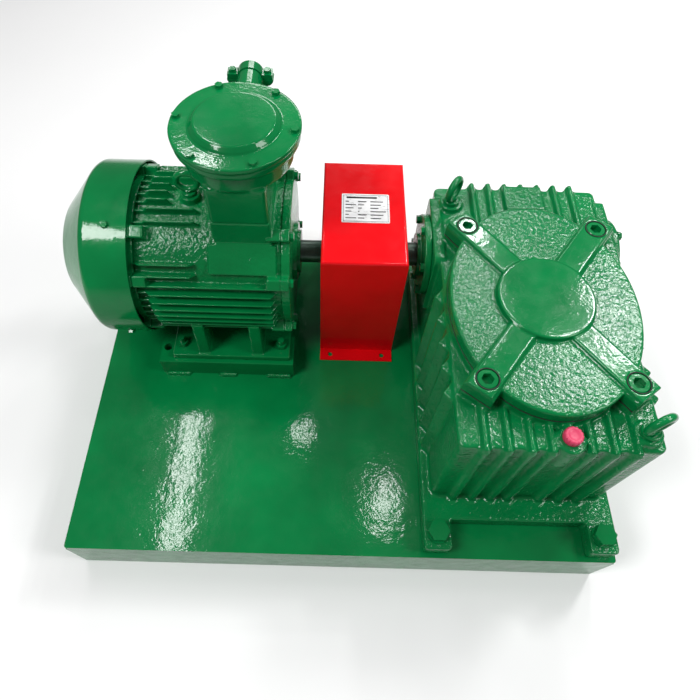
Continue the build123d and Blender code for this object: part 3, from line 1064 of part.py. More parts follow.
COVER_HUB_R, HUB_DROP, SEGMENT_TOP, HUB_TOP = 88.0, 34.0, 494.0, 506.0
HEAD_SEAT, COUNTERBORE_R, COVER_HOLE_R, COUNTERBORE = 480.0, 19.8, 12.5, 40.0
SEGMENT_BEVEL, HUB_ROUND, SPOKE_TAPER, SPOKE_SINK = 2.5, 3.5, 12.0, 3.0
SHAFT_RECESS_R, SHAFT_RECESS = 56.0, 45.0
cover_hub_bottom = COVER_SEAT - HUB_DROP
with BuildPart() as gearbox_cover:
    with BuildSketch(wheel_plane(COVER_SEAT)):
        cover_outline()
    extrude(amount=SEGMENT_TOP - COVER_SEAT)
    chamfer(gearbox_cover.faces().sort_by(Axis.Z)[-1].edges(), SEGMENT_BEVEL)
    with BuildSketch(wheel_plane(SEGMENT_TOP - SPOKE_SINK)):
        spokes(LOBE_WIDTH)
    with BuildSketch(wheel_plane(COVER_TOP)):
        spokes(LOBE_WIDTH - SPOKE_TAPER)
    loft()
    with BuildSketch(wheel_plane(COVER_SEAT)):
        Circle(COVER_HUB_R)
    extrude(amount=HUB_TOP - COVER_SEAT)
    fillet(gearbox_cover.faces().sort_by(Axis.Z)[-1].edges(), HUB_ROUND)
    with BuildSketch(wheel_plane(cover_hub_bottom)):
        Circle(COVER_HUB_R)
    extrude(amount=HUB_DROP)
    with BuildSketch(wheel_plane(cover_hub_bottom)):
        Circle(UPPER_BEARING[1] + FIT)
    extrude(amount=UPPER_BEARING_Z + UPPER_BEARING[2] - cover_hub_bottom, mode=Mode.SUBTRACT)
    with BuildSketch(wheel_plane(UPPER_BEARING_Z)):
        Circle(SHAFT_RECESS_R)
    extrude(amount=SHAFT_RECESS, mode=Mode.SUBTRACT)
    with Locations(*[gear_at(x, y, COVER_SEAT) for x, y in cover_bolts_xy]):
        Cylinder(COVER_HOLE_R, 2 * COUNTERBORE, mode=Mode.SUBTRACT)
    with Locations(*[gear_at(x, y, HEAD_SEAT) for x, y in cover_bolts_xy]):
        Cylinder(COUNTERBORE_R, COUNTERBORE, align=MIN_Z, mode=Mode.SUBTRACT)
save(gearbox_cover, "gearbox_cover")

with BuildPart() as cover_gasket:
    with BuildSketch(wheel_plane(FLANGE_TOP)):
        cover_outline()
        Circle(OPENING_R, mode=Mode.SUBTRACT)
        with Locations(*cover_bolts_xy):
            Circle(COVER_HOLE_R, mode=Mode.SUBTRACT)
    extrude(amount=COVER_SEAT - FLANGE_TOP)
save(cover_gasket, "cover_gasket")

cover_screw = socket_screw(COVER_BOLT, HEAD_SEAT - FLANGE_TOP + COVER_BOLT_GRIP)
cover_bolts = placed(cover_screw, [gear_at(x, y, HEAD_SEAT) for x, y in cover_bolts_xy])
save(cover_bolts, "cover_bolts")

# ---------------------------------------------------------------- gearbox: turning pieces
thread_height = WORM_TURNS * LEAD
THREAD_ROOT_HALF, THREAD_TIP_HALF, THREAD_SINK = 4.6, 2.2, 2.0
thread_root, thread_tip = WORM_ROOT_R - THREAD_SINK - WORM_PITCH_R, WORM_TIP_R - WORM_PITCH_R
with BuildPart() as worm_thread:
    with BuildLine():
        worm_helix = Helix(pitch=LEAD, height=thread_height, radius=WORM_PITCH_R)
    with BuildSketch(Plane(origin=worm_helix @ 0, x_dir=(1, 0, 0), z_dir=worm_helix % 0)):
        Polygon(
            (thread_root, -THREAD_ROOT_HALF), (thread_tip, -THREAD_TIP_HALF),
            (thread_tip, THREAD_TIP_HALF), (thread_root, THREAD_ROOT_HALF), align=None,
        )
    sweep(path=worm_helix, is_frenet=True)

bearing_bore, bearing_outer, bearing_width = WORM_BEARING
SEAL_LAND, WORM_NECK_R, WORM_BODY_HALF, WORM_TAIL = 24.0, 38.0, 82.0, 2.0
seal_land_end = GEARBOX_X - BOSS_FACE + SEAL_LAND
left_seat, right_seat = GEARBOX_X - WORM_BEARING_X, GEARBOX_X + WORM_BEARING_X
worm_steps = (
    (input_shaft_end, seal_land_end, INPUT_R),
    (seal_land_end, left_seat, bearing_bore),
    (left_seat, GEARBOX_X - WORM_BODY_HALF, WORM_NECK_R),
    (GEARBOX_X - WORM_BODY_HALF, GEARBOX_X + WORM_BODY_HALF, WORM_ROOT_R),
    (GEARBOX_X + WORM_BODY_HALF, right_seat, WORM_NECK_R),
    (right_seat, right_seat + bearing_width + WORM_TAIL, bearing_bore),
)
INPUT_KEY_INSET, INPUT_KEY_LENGTH = 6.0, 44.0
input_key_start = input_shaft_end + INPUT_KEY_INSET
input_key_size = (INPUT_KEY_LENGTH, KEY_WIDTH, KEY_HEIGHT)
thread_start = Plane(
    origin=(GEARBOX_X - thread_height / 2, DRIVE_Y, DRIVE_Z), x_dir=(0, -1, 0), z_dir=(1, 0, 0)
)
with BuildPart() as worm_shaft:
    add(turned(drive_plane, worm_steps).part)
    with Locations(thread_start.location, thread_start.location * Rot(0, 0, 180)):
        add(worm_thread.part)
    with Locations((input_key_start, DRIVE_Y, DRIVE_Z + INPUT_R + KEY_RISE)):
        Box(*input_key_size, align=KEY_ALIGN, mode=Mode.SUBTRACT)
save(worm_shaft, "worm_shaft")

with BuildPart() as input_key:
    with Locations((input_key_start, DRIVE_Y, DRIVE_Z + INPUT_R + KEY_RISE)):
        Box(*input_key_size, align=KEY_ALIGN)
save(input_key, "input_shaft_key")

left_outer, left_inner, left_balls = bearing(drive_plane, left_seat - bearing_width, WORM_BEARING)
right_outer, right_inner, right_balls = bearing(drive_plane, right_seat, WORM_BEARING)
save(merged(left_inner, right_inner), "worm_bearing_inner_rings")

# worm wheel: bronze rim screwed to an iron centre
GAP_ROOT_HALF, GAP_TIP_HALF, GAP_DEPTH = 3.6, 6.6, 8.0
HUB_SEAT_R, HUB_OUTER_R, WEB, HUB_LENGTH = 48.0, 70.0, 26.0, 110.0
WHEEL_KEY, WHEEL_KEY_RISE = (28.0, 16.0, 96.0), 6.0  # width, height, length; its height above the shaft
with BuildPart() as tooth_gap:
    tilt = Plane(
        origin=(0, WHEEL_PITCH_R, 0), x_dir=(math.cos(LEAD_ANGLE), 0, math.sin(LEAD_ANGLE)),
        z_dir=(-math.sin(LEAD_ANGLE), 0, math.cos(LEAD_ANGLE)),
    )
    with BuildSketch(tilt):
        Polygon(
            (-GAP_ROOT_HALF, -GAP_DEPTH), (GAP_ROOT_HALF, -GAP_DEPTH), (GAP_TIP_HALF, GAP_DEPTH),
            (-GAP_TIP_HALF, GAP_DEPTH), align=None,
        )
    extrude(amount=WHEEL_WIDTH, both=True)

wheel_middle = gear_at(0, 0, DRIVE_Z)
wheel_bottom = DRIVE_Z - WHEEL_WIDTH / 2
wheel_top = DRIVE_Z + WHEEL_WIDTH / 2
RIM_SCREW_R, RIM_SCREWS, RIM_SCREW_HOLE, RIM_SCREW_LENGTH = 5.0, 6, 26.0, 24.0
CENTRE_RIM, WEB_OVERLAP, LIGHTENING_R, LIGHTENING_HOLES = 18.0, 10.0, 11.0, 6
centre_rim_inner = RIM_INNER_R - CENTRE_RIM
with BuildPart() as wheel_rim:
    with BuildSketch(wheel_plane(wheel_bottom)):
        Circle(WHEEL_TIP_R)
        Circle(RIM_INNER_R, mode=Mode.SUBTRACT)
    extrude(amount=WHEEL_WIDTH)
    with Locations(*[wheel_middle * Rot(0, 0, tooth * 360 / WHEEL_TEETH) for tooth in range(WHEEL_TEETH)]):
        add(tooth_gap.part, mode=Mode.SUBTRACT)
    with BuildSketch(wheel_plane(wheel_top)):
        with PolarLocations(RIM_INNER_R, RIM_SCREWS):
            Circle(RIM_SCREW_R)
    extrude(amount=-RIM_SCREW_HOLE, mode=Mode.SUBTRACT)
save(wheel_rim, "worm_wheel_rim")

with BuildPart() as wheel_centre:
    with BuildSketch(wheel_plane(wheel_bottom)):
        Circle(RIM_INNER_R - FIT)
        Circle(centre_rim_inner, mode=Mode.SUBTRACT)
    extrude(amount=WHEEL_WIDTH)
    with BuildSketch(wheel_plane(DRIVE_Z - WEB / 2)):
        Circle(RIM_INNER_R - WEB_OVERLAP)
        with PolarLocations((HUB_OUTER_R + centre_rim_inner) / 2, LIGHTENING_HOLES, start_angle=30):
            Circle(LIGHTENING_R, mode=Mode.SUBTRACT)
    extrude(amount=WEB)
    with BuildSketch(wheel_plane(DRIVE_Z - HUB_LENGTH / 2)):
        Circle(HUB_OUTER_R)
    extrude(amount=HUB_LENGTH)
    with BuildSketch(wheel_plane(DRIVE_Z - HUB_LENGTH / 2)):
        Circle(HUB_SEAT_R + FIT)
        with Locations((0, HUB_SEAT_R)):
            Rectangle(WHEEL_KEY[0] + 2 * FIT, 2 * WHEEL_KEY_RISE + 2)
    extrude(amount=HUB_LENGTH, mode=Mode.SUBTRACT)
    with BuildSketch(wheel_plane(wheel_top)):
        with PolarLocations(RIM_INNER_R, RIM_SCREWS):
            Circle(RIM_SCREW_R)
    extrude(amount=-RIM_SCREW_HOLE, mode=Mode.SUBTRACT)
save(wheel_centre, "worm_wheel_centre")

with BuildPart() as rim_screws:
    with Locations(gear_at(0, 0, wheel_top)):
        with PolarLocations(RIM_INNER_R, RIM_SCREWS):
            Cylinder(RIM_SCREW_R - FIT, RIM_SCREW_LENGTH, align=MAX_Z)
save(rim_screws, "wheel_rim_screws")

SHAFT_TOP, OUTPUT_SHOULDER_Z, SHAFT_COLLAR_R, OUTPUT_BEVEL = 478.0, 122.0, 56.0, 2.0
OUTPUT_KEYWAY = (22.0, 14.0, 44.0)  # width, height, length; the driven hub brings its own key
OUTPUT_KEYWAY_RISE, OUTPUT_KEYWAY_INSET = 5.0, 8.0
hub_bottom, hub_top = DRIVE_Z - HUB_LENGTH / 2, DRIVE_Z + HUB_LENGTH / 2
lower_bearing_top = LOWER_BEARING_Z + LOWER_BEARING[2]
output_steps = (
    (OUTPUT_END, OUTPUT_SHOULDER_Z, OUTPUT_R), (OUTPUT_SHOULDER_Z, lower_bearing_top, LOWER_BEARING[0]),
    (lower_bearing_top, hub_bottom, SHAFT_COLLAR_R), (hub_bottom, hub_top, HUB_SEAT_R),
    (hub_top, SHAFT_TOP, UPPER_BEARING[0]),
)
KEYSEAT_ALIGN = (Align.CENTER, Align.MAX, Align.MIN)
output_keyway_seat = gear_at(0, OUTPUT_R + OUTPUT_KEYWAY_RISE, OUTPUT_END + OUTPUT_KEYWAY_INSET)
wheel_key_seat = gear_at(0, HUB_SEAT_R + WHEEL_KEY_RISE, DRIVE_Z - WHEEL_KEY[2] / 2)
with BuildPart() as output_shaft:
    add(turned(wheel_plane, output_steps).part)
    for seat, key in ((output_keyway_seat, OUTPUT_KEYWAY), (wheel_key_seat, WHEEL_KEY)):
        with Locations(seat):
            Box(*key, align=KEYSEAT_ALIGN, mode=Mode.SUBTRACT)
    chamfer(output_shaft.faces().sort_by(Axis.Z)[0].edges().filter_by(GeomType.CIRCLE), OUTPUT_BEVEL)
save(output_shaft, "output_shaft")

with BuildPart() as wheel_key:
    with Locations(wheel_key_seat):
        Box(*WHEEL_KEY, align=KEYSEAT_ALIGN)
save(wheel_key, "worm_wheel_key")

SPACER_WALL = 11.0
with BuildPart() as output_spacer:
    with BuildSketch(wheel_plane(hub_top)):
        Circle(UPPER_BEARING[0] + SPACER_WALL)
        Circle(UPPER_BEARING[0] + FIT, mode=Mode.SUBTRACT)
    extrude(amount=UPPER_BEARING_Z - hub_top)
save(output_spacer, "output_shaft_spacer")

upper_outer, upper_inner, upper_balls = bearing(wheel_plane, UPPER_BEARING_Z, UPPER_BEARING)
lower_outer, lower_inner, lower_balls = bearing(wheel_plane, LOWER_BEARING_Z, LOWER_BEARING)
save(merged(upper_inner, lower_inner), "output_bearing_inner_rings")
still_rings = (front_outer, rear_outer, left_outer, right_outer, upper_outer, lower_outer)
save(merged(*still_rings), "bearing_outer_rings")
ball_sets = (front_balls, rear_balls, left_balls, right_balls, upper_balls, lower_balls)
save(merged(*ball_sets), "bearing_balls")

# ---------------------------------------------------------------- gearbox: caps, seals, plugs and fasteners
CAP_PLATE, CAP_NOSE, CAP_NOSE_R, CAP_LIP, CAP_INNER_R, CAP_BEVEL = 14.0, 10.0, 46.0, 4.0, 50.0, 3.0
SEAL_R, SEAL_WIDTH, CAP_BOLT_GRIP = 38.0, 10.0, 24.0
worm_bearing_face = WORM_BEARING_X + bearing_width
cap_spigot = BOSS_FACE - worm_bearing_face
with BuildPart() as input_cap:
    with BuildSketch(side_plane(-1).offset(BOSS_FACE)):
        Circle(CAP_FLANGE_R)
        with PolarLocations(CAP_BOLT_R, CAP_BOLTS, start_angle=CAP_BOLT_TURN):
            Circle(CAP_BOLT / 2, mode=Mode.SUBTRACT)
    extrude(amount=CAP_PLATE)
    with BuildSketch(side_plane(-1).offset(BOSS_FACE + CAP_PLATE)):
        Circle(CAP_NOSE_R)
    extrude(amount=CAP_NOSE)
    with BuildSketch(side_plane(-1).offset(worm_bearing_face)):
        Circle(bearing_outer - FIT)
    extrude(amount=cap_spigot)
    with BuildSketch(side_plane(-1).offset(worm_bearing_face)):
        Circle(CAP_INNER_R)
    extrude(amount=cap_spigot, mode=Mode.SUBTRACT)
    with BuildSketch(side_plane(-1).offset(BOSS_FACE)):
        Circle(SEAL_R + FIT)
    extrude(amount=CAP_PLATE + CAP_NOSE - CAP_LIP, mode=Mode.SUBTRACT)
    with BuildSketch(side_plane(-1).offset(BOSS_FACE)):
        Circle(INPUT_R + AIR)
    extrude(amount=CAP_PLATE + CAP_NOSE, mode=Mode.SUBTRACT)
save(input_cap, "input_bearing_cap")

with BuildPart() as blind_cap:
    with BuildSketch(side_plane(1).offset(BOSS_FACE)):
        Circle(CAP_FLANGE_R)
        with PolarLocations(CAP_BOLT_R, CAP_BOLTS, start_angle=CAP_BOLT_TURN):
            Circle(CAP_BOLT / 2, mode=Mode.SUBTRACT)
    extrude(amount=CAP_PLATE)
    with BuildSketch(side_plane(1).offset(worm_bearing_face)):
        Circle(bearing_outer - FIT)
        Circle(CAP_INNER_R, mode=Mode.SUBTRACT)
    extrude(amount=cap_spigot)
    chamfer(blind_cap.faces().sort_by(Axis.X)[-1].edges().group_by(SortBy.LENGTH)[-1], CAP_BEVEL)
save(blind_cap, "blind_bearing_cap")

cap_bolt = hex_bolt(CAP_BOLT, CAP_PLATE + CAP_BOLT_GRIP)
with BuildPart() as worm_cap_bolts:
    for side in (-1, 1):
        with Locations(side_plane(side).offset(BOSS_FACE + CAP_PLATE).location):
            with PolarLocations(CAP_BOLT_R, CAP_BOLTS, start_angle=CAP_BOLT_TURN):
                add(cap_bolt)

with BuildPart() as input_seal:
    with BuildSketch(side_plane(-1).offset(BOSS_FACE + CAP_PLATE + CAP_NOSE - CAP_LIP - SEAL_WIDTH)):
        Circle(SEAL_R)
        Circle(INPUT_R + FIT, mode=Mode.SUBTRACT)
    extrude(amount=SEAL_WIDTH)
save(input_seal, "input_oil_seal")

OUTPUT_CAP, OUTPUT_CAP_LIP, OUTPUT_SEAL_R, OUTPUT_SEAL_WIDTH, OUTPUT_BOLT_GRIP = 12.0, 3.0, 62.0, 12.0, 22.0
with BuildPart() as output_cap:
    with BuildSketch(wheel_plane(DECK - OUTPUT_CAP)):
        Circle(OUTPUT_CAP_R)
        with PolarLocations(OUTPUT_CAP_BOLT_R, CAP_BOLTS):
            Circle(CAP_BOLT / 2, mode=Mode.SUBTRACT)
    extrude(amount=OUTPUT_CAP)
    with BuildSketch(wheel_plane(DECK)):
        Circle(LOWER_BEARING[1] - FIT)
    extrude(amount=LOWER_BEARING_Z - DECK)
    with BuildSketch(wheel_plane(DECK - OUTPUT_CAP + OUTPUT_CAP_LIP)):
        Circle(OUTPUT_SEAL_R + FIT)
    extrude(amount=LOWER_BEARING_Z - DECK + OUTPUT_CAP - OUTPUT_CAP_LIP, mode=Mode.SUBTRACT)
    with BuildSketch(wheel_plane(DECK - OUTPUT_CAP)):
        Circle(LOWER_BEARING[0] + AIR)
    extrude(amount=OUTPUT_CAP, mode=Mode.SUBTRACT)
save(output_cap, "output_bearing_cap")

output_cap_bolt = hex_bolt(CAP_BOLT, OUTPUT_CAP + OUTPUT_BOLT_GRIP)
with BuildPart() as output_cap_bolts:
    with Locations(gear_at(0, 0, DECK - OUTPUT_CAP)):
        with PolarLocations(OUTPUT_CAP_BOLT_R, CAP_BOLTS):
            add(output_cap_bolt, rotation=(180, 0, 0))
save(merged(worm_cap_bolts.part, output_cap_bolts.part), "bearing_cap_bolts")

with BuildPart() as output_seal:
    with BuildSketch(wheel_plane(DECK - OUTPUT_CAP + OUTPUT_CAP_LIP)):
        Circle(OUTPUT_SEAL_R)
        Circle(LOWER_BEARING[0] + FIT, mode=Mode.SUBTRACT)
    extrude(amount=OUTPUT_SEAL_WIDTH)
save(output_seal, "output_oil_seal")

EYE_RING_R, EYE_WIRE_R = 22.0, 7.0
REAR_EYE_TURN, FRONT_EYE_TURN = 55.0, 25.0
gear_eye = lifting_eye(EYE_RING_R, EYE_WIRE_R, EYE_SHANK_R, EYE_SHANK)
gear_eyebolts = placed(gear_eye, [
    gear_at(*REAR_EYE, EYE_BOSS_TOP) * Rot(0, 0, REAR_EYE_TURN),
    gear_at(*FRONT_EYE, EYE_BOSS_TOP) * Rot(0, 0, FRONT_EYE_TURN),
])
save(gear_eyebolts, "gearbox_eyebolts")

# fluted plastic filler plug
PLUG_HEAD_R, PLUG_HEAD, PLUG_SHANK, FLUTE_R, FLUTE_CIRCLE_R, FLUTES = 16.0, 14.0, 22.0, 2.6, 17.4, 14
DRAIN_SHANK, FOOT_BOLT_TIP = 16.0, 24.0
with BuildPart() as filler_plug:
    with BuildSketch():
        Circle(PLUG_HEAD_R)
        with PolarLocations(FLUTE_CIRCLE_R, FLUTES):
            Circle(FLUTE_R, mode=Mode.SUBTRACT)
    extrude(amount=PLUG_HEAD)
    with BuildSketch():
        Circle(PLUG_R - FIT)
    extrude(amount=-PLUG_SHANK)
plug_node = placed(filler_plug.part, [filler_seat])
save(plug_node, "oil_filler_plug")

drain_screw = hex_bolt(2 * PLUG_R, DRAIN_SHANK)
oil_plugs = placed(drain_screw, [drain_seat, level_seat])
save(oil_plugs, "oil_drain_and_level_plugs")

foot_bolt = hex_bolt(FOOT_BOLT, FOOT_THICKNESS + PLATE + FOOT_BOLT_TIP)
foot_bolts = placed(foot_bolt, [gear_at(x, y, DECK + FOOT_THICKNESS) for x, y in foot_bolts_xy])
foot_nut = hex_nut(FOOT_BOLT)
gear_foot_nuts = placed(foot_nut, [gear_at(x, y, plate_bottom) * Rot(180, 0, 0) for x, y in foot_bolts_xy])
save(merged(foot_bolts.part, gear_foot_nuts.part), "gearbox_foot_bolts")
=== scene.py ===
"""Looks of the worm gearbox drive: enamelled castings and sheet, turned steel, and small pieces."""

import math

import bmesh
import bpy
from mathutils import Matrix, Vector, noise


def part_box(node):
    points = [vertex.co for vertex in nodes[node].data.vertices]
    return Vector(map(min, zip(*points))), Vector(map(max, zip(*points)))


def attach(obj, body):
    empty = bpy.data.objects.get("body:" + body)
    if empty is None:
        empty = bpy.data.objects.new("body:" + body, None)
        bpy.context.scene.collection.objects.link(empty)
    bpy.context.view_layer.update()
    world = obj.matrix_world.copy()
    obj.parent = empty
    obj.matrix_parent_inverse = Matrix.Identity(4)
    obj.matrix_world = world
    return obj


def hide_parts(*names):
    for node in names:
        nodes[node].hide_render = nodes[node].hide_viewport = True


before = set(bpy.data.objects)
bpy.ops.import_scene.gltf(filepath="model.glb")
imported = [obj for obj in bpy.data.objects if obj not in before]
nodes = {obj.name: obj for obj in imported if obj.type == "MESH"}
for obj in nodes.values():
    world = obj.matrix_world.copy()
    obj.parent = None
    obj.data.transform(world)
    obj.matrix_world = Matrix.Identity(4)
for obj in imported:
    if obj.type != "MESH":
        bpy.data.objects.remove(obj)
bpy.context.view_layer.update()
MM = 0.001

# ---------------------------------------------------------------- camera, floor and lights
CAMERA_AT = Vector((-0.034, -0.610, 1.349))
CAMERA_FORWARD = Vector((0.0, 0.517, -0.856)).normalized()
CAMERA_RIGHT = Vector((0.9993, 0.011, 0.035))
CAMERA_LENS = 29.6
CAMERA_SHIFT = (0.030, -0.024)  # shares of the frame by which the view moves right and down
WHITE = (1.0, 1.0, 1.0)
SURROUND = 0.16  # brightness of the even white surroundings
FLOOR_REACH = 6.0

# broad lights: name, place, aim, width, height, watts
SOFTBOXES = (
    ("key", (-1.9, -1.0, 3.0), (0, 0, 0.2), 1.0, 1.0, 66),
    ("fill", (2.6, -0.7, 2.8), (0.2, 0, 0.2), 1.0, 1.2, 44),
    ("rear", (0.0, 3.4, 2.6), (0.0, 0.3, 0.2), 1.6, 0.4, 20),
)
# small lamps hung where the top faces mirror them: name, place, width, length, watts
LAMP_HEIGHT, LAMP_LEAN = 2.6, 0.05
LAMPS = (
    ("strip_left", (-0.95, 0.56), 0.09, 1.10, 9),
    ("spot_middle", (-0.20, 0.83), 0.08, 0.12, 0.9),
    ("spot_right", (0.34, 0.38), 0.10, 0.30, 2.4),
    ("cover_right", (1.83, 1.35), 0.42, 0.62, 34),
    ("cover_back", (0.88, 1.98), 0.20, 0.22, 9),
    ("cover_front", (1.38, 0.88), 0.16, 0.46, 10),
    ("cover_left", (0.89, 1.38), 0.12, 0.46, 6.5),
    ("lid_spot", (-0.90, 2.10), 0.22, 0.16, 4),
)


def add_camera():
    """Camera at the height and angle of someone standing over the drive."""
    data = bpy.data.cameras.new("camera")
    data.lens = CAMERA_LENS
    data.shift_x, data.shift_y = CAMERA_SHIFT
    camera = bpy.data.objects.new("camera", data)
    right = (CAMERA_RIGHT - CAMERA_FORWARD * CAMERA_RIGHT.dot(CAMERA_FORWARD)).normalized()
    up = right.cross(CAMERA_FORWARD)
    turn = Matrix((right, up, -CAMERA_FORWARD)).transposed().to_4x4()
    camera.matrix_world = Matrix.Translation(CAMERA_AT) @ turn
    bpy.context.collection.objects.link(camera)
    bpy.context.scene.camera = camera


def add_softbox(name, at, aim, width, height, watts):
    """Rectangular area light facing a point."""
    data = bpy.data.lights.new(name, "AREA")
    data.shape = "RECTANGLE"
    data.size, data.size_y = width, height
    data.energy = watts
    data.color = WHITE
    light = bpy.data.objects.new(name, data)
    facing = (Vector(aim) - Vector(at)).to_track_quat("-Z", "Y")
    light.matrix_world = Matrix.Translation(at) @ facing.to_matrix().to_4x4()
    bpy.context.collection.objects.link(light)


def add_studio():
    """Pale floor, dim even surroundings and softboxes overhead."""
    bpy.context.scene.view_settings.view_transform = "Standard"
    world = bpy.data.worlds.new("studio")
    world.use_nodes = True
    backdrop = world.node_tree.nodes["Background"]
    backdrop.inputs["Color"].default_value = (*WHITE, 1.0)
    backdrop.inputs["Strength"].default_value = SURROUND
    bpy.context.scene.world = world
    for name, at, aim, width, height, watts in SOFTBOXES:
        add_softbox(name, at, aim, width, height, watts)
    for name, (x, y), width, height, watts in LAMPS:
        add_softbox(name, (x, y, LAMP_HEIGHT), (x, y - LAMP_LEAN, 0), width, height, watts)
    floor_mesh = bpy.data.meshes.new("floor")
    signs = ((-1, -1), (1, -1), (1, 1), (-1, 1))
    corners = [(FLOOR_REACH * x, FLOOR_REACH * y, 0) for x, y in signs]
    floor_mesh.from_pydata(corners, [], [(0, 1, 2, 3)])
    floor = bpy.data.objects.new("floor", floor_mesh)
    bpy.context.collection.objects.link(floor)
    floor_mesh.materials.append(plain_floor())


# ---------------------------------------------------------------- materials
GREEN, GREEN_DARK = (0.001, 0.205, 0.052), (0.001, 0.140, 0.036)
RED, RED_DARK = (0.86, 0.003, 0.008), (0.66, 0.002, 0.005)
SOOT = (0.010, 0.014, 0.011)
rotor_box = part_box("motor_rotor_core")
MOTOR_AXIS_Y, MOTOR_AXIS_Z = (sum(corner[axis] for corner in rotor_box) / 2 for axis in (1, 2))


class Shader:
    """A principled material with short calls for the nodes that feed it."""

    def __init__(self, name):
        self.material = bpy.data.materials.new(name)
        self.material.use_nodes = True
        self.tree = self.material.node_tree
        self.surface = self.tree.nodes["Principled BSDF"]
        self.place = self.node("ShaderNodeTexCoord").outputs["Object"]

    def node(self, kind, **settings):
        made = self.tree.nodes.new(kind)
        for key, value in settings.items():
            setattr(made, key, value)
        return made

    def feed(self, socket, value):
        if isinstance(value, bpy.types.NodeSocket):
            self.tree.links.new(value, socket)
        else:
            socket.default_value = value

    def set(self, **values):
        """Surface sockets by name, with underscores for spaces."""
        for key, value in values.items():
            self.feed(self.surface.inputs[key.replace("_", " ")], value)

    def math(self, operation, *values):
        made = self.node("ShaderNodeMath", operation=operation)
        for socket, value in zip(made.inputs, values):
            self.feed(socket, value)
        return made.outputs[0]

    def noise(self, scale, detail=3.0, roughness=0.5, stretch=None, distortion=0.0):
        made = self.node("ShaderNodeTexNoise")
        where = self.place
        if stretch:
            mapping = self.node("ShaderNodeMapping")
            self.feed(mapping.inputs["Vector"], self.place)
            self.feed(mapping.inputs["Scale"], stretch)
            where = mapping.outputs[0]
        self.feed(made.inputs["Vector"], where)
        settings = {"Scale": scale, "Detail": detail, "Roughness": roughness, "Distortion": distortion}
        for key, value in settings.items():
            self.feed(made.inputs[key], value)
        return made.outputs[0]

    def ramp(self, value, low, high, out_low=0.0, out_high=1.0):
        made = self.node("ShaderNodeMapRange")
        self.feed(made.inputs["Value"], value)
        limits = {"From Min": low, "From Max": high, "To Min": out_low, "To Max": out_high}
        for key, number in limits.items():
            self.feed(made.inputs[key], number)
        return made.outputs[0]

    def blend(self, share, first, second):
        made = self.node("ShaderNodeMix", data_type="RGBA")
        self.feed(made.inputs["Factor"], share)
        for key, colour in (("A", first), ("B", second)):
            socket = next(s for s in made.inputs if s.name == key and s.type == "RGBA")
            self.feed(socket, (*colour, 1.0) if isinstance(colour, tuple) else colour)
        return next(s for s in made.outputs if s.type == "RGBA")

    def bump(self, height, distance, normal=None):
        made = self.node("ShaderNodeBump")
        self.feed(made.inputs["Strength"], 1.0)
        self.feed(made.inputs["Distance"], distance)
        self.feed(made.inputs["Height"], height)
        if normal is not None:
            self.feed(made.inputs["Normal"], normal)
        return made.outputs[0]

    def component(self, vector, index):
        """The x, y or z of a vector socket."""
        split = self.node("ShaderNodeSeparateXYZ")
        self.feed(split.inputs[0], vector)
        return split.outputs[index]

    def facing_up(self):
        """Height of the surface normal, 1 on faces that look up."""
        return self.component(self.node("ShaderNodeNewGeometry").outputs["Normal"], 2)

    def coordinate(self, index):
        """The x, y or z of the point on the object."""
        return self.component(self.place, index)


def plain_floor():
    look = Shader("floor")
    tint = look.blend(look.noise(3.0), (0.86, 0.86, 0.86), (0.90, 0.90, 0.90))
    look.set(Base_Color=tint, Roughness=0.7)
    return look.material


# the gloss on upright faces, then on faces that look up; upright faces get less as painted shade, standing
# for dark surroundings near the floor
COAT_WITH_SIDE_SHADE, SHINE_WITH_SIDE_SHADE = (0.21, 0.60), (0.0875, 0.10)
COAT_ROUGHNESS = 0.03
CHIP_LEVEL, CHIP_EDGE = 0.75, 0.015
PEEL_DEPTH, WAVE_DEPTH, CAST_DEPTH = 0.10 * MM, 0.60 * MM, 2.0 * MM
LUMP_SHARE = 0.9


def enamel(name, light, dark, grain=0.25, where=None, chips=0.0):
    """Thick gloss paint: orange peel, drift of colour, and the grain of the casting under it.

    grain is how strongly the cast surface shows; where(look) may return a 0 to 1 mask for it.
    """
    look = Shader(name)
    colour = look.blend(look.ramp(look.noise(7.0, 4.0), 0.3, 0.75), dark, light)
    if chips:
        chip = look.ramp(look.noise(95.0, 5.0, 0.7), CHIP_LEVEL - CHIP_EDGE - chips, CHIP_LEVEL - chips)
        colour = look.blend(chip, colour, SOOT)
    peel = look.bump(look.noise(210.0, 2.0), PEEL_DEPTH)
    wave = look.bump(look.noise(22.0, 2.0), WAVE_DEPTH, peel)
    cast = look.noise(130.0, 2.0, 0.5, distortion=0.5)
    lumps = look.noise(95.0, 3.0, 0.6)
    height = look.math("ADD", cast, look.math("MULTIPLY", lumps, LUMP_SHARE))
    if where:
        height = look.math("MULTIPLY", height, where(look))
    normal = look.bump(height, CAST_DEPTH * grain, wave)
    look.set(Base_Color=colour, Roughness=look.ramp(look.noise(40.0, 3.0), 0.3, 0.7, 0.12, 0.24))
    look.set(Normal=normal, Coat_Normal=normal, Coat_Roughness=COAT_ROUGHNESS)
    # painted shade: upright faces get less coat and shine than faces that look up, so their reflections
    # come out darker
    top = look.ramp(look.facing_up(), 0.10, 0.80)
    look.set(Coat_Weight=look.ramp(top, 0.0, 1.0, *COAT_WITH_SIDE_SHADE))
    look.set(Specular_IOR_Level=look.ramp(top, 0.0, 1.0, *SHINE_WITH_SIDE_SHADE))
    return look.material


def metal(name, light, dark, roughness=0.32, stretch=(0.12, 1.0, 1.0), metallic=1.0):
    """Machined metal with fine marks drawn out along one axis."""
    look = Shader(name)
    marks = look.noise(520.0, 3.0, stretch=stretch)
    stain = look.ramp(look.noise(28.0, 4.0), 0.35, 0.7)
    look.set(Base_Color=look.blend(stain, light, dark), Metallic=metallic)
    look.set(Roughness=look.ramp(marks, 0.3, 0.7, roughness - 0.08, roughness + 0.12))
    look.set(Normal=look.bump(marks, 0.00008))
    return look.material


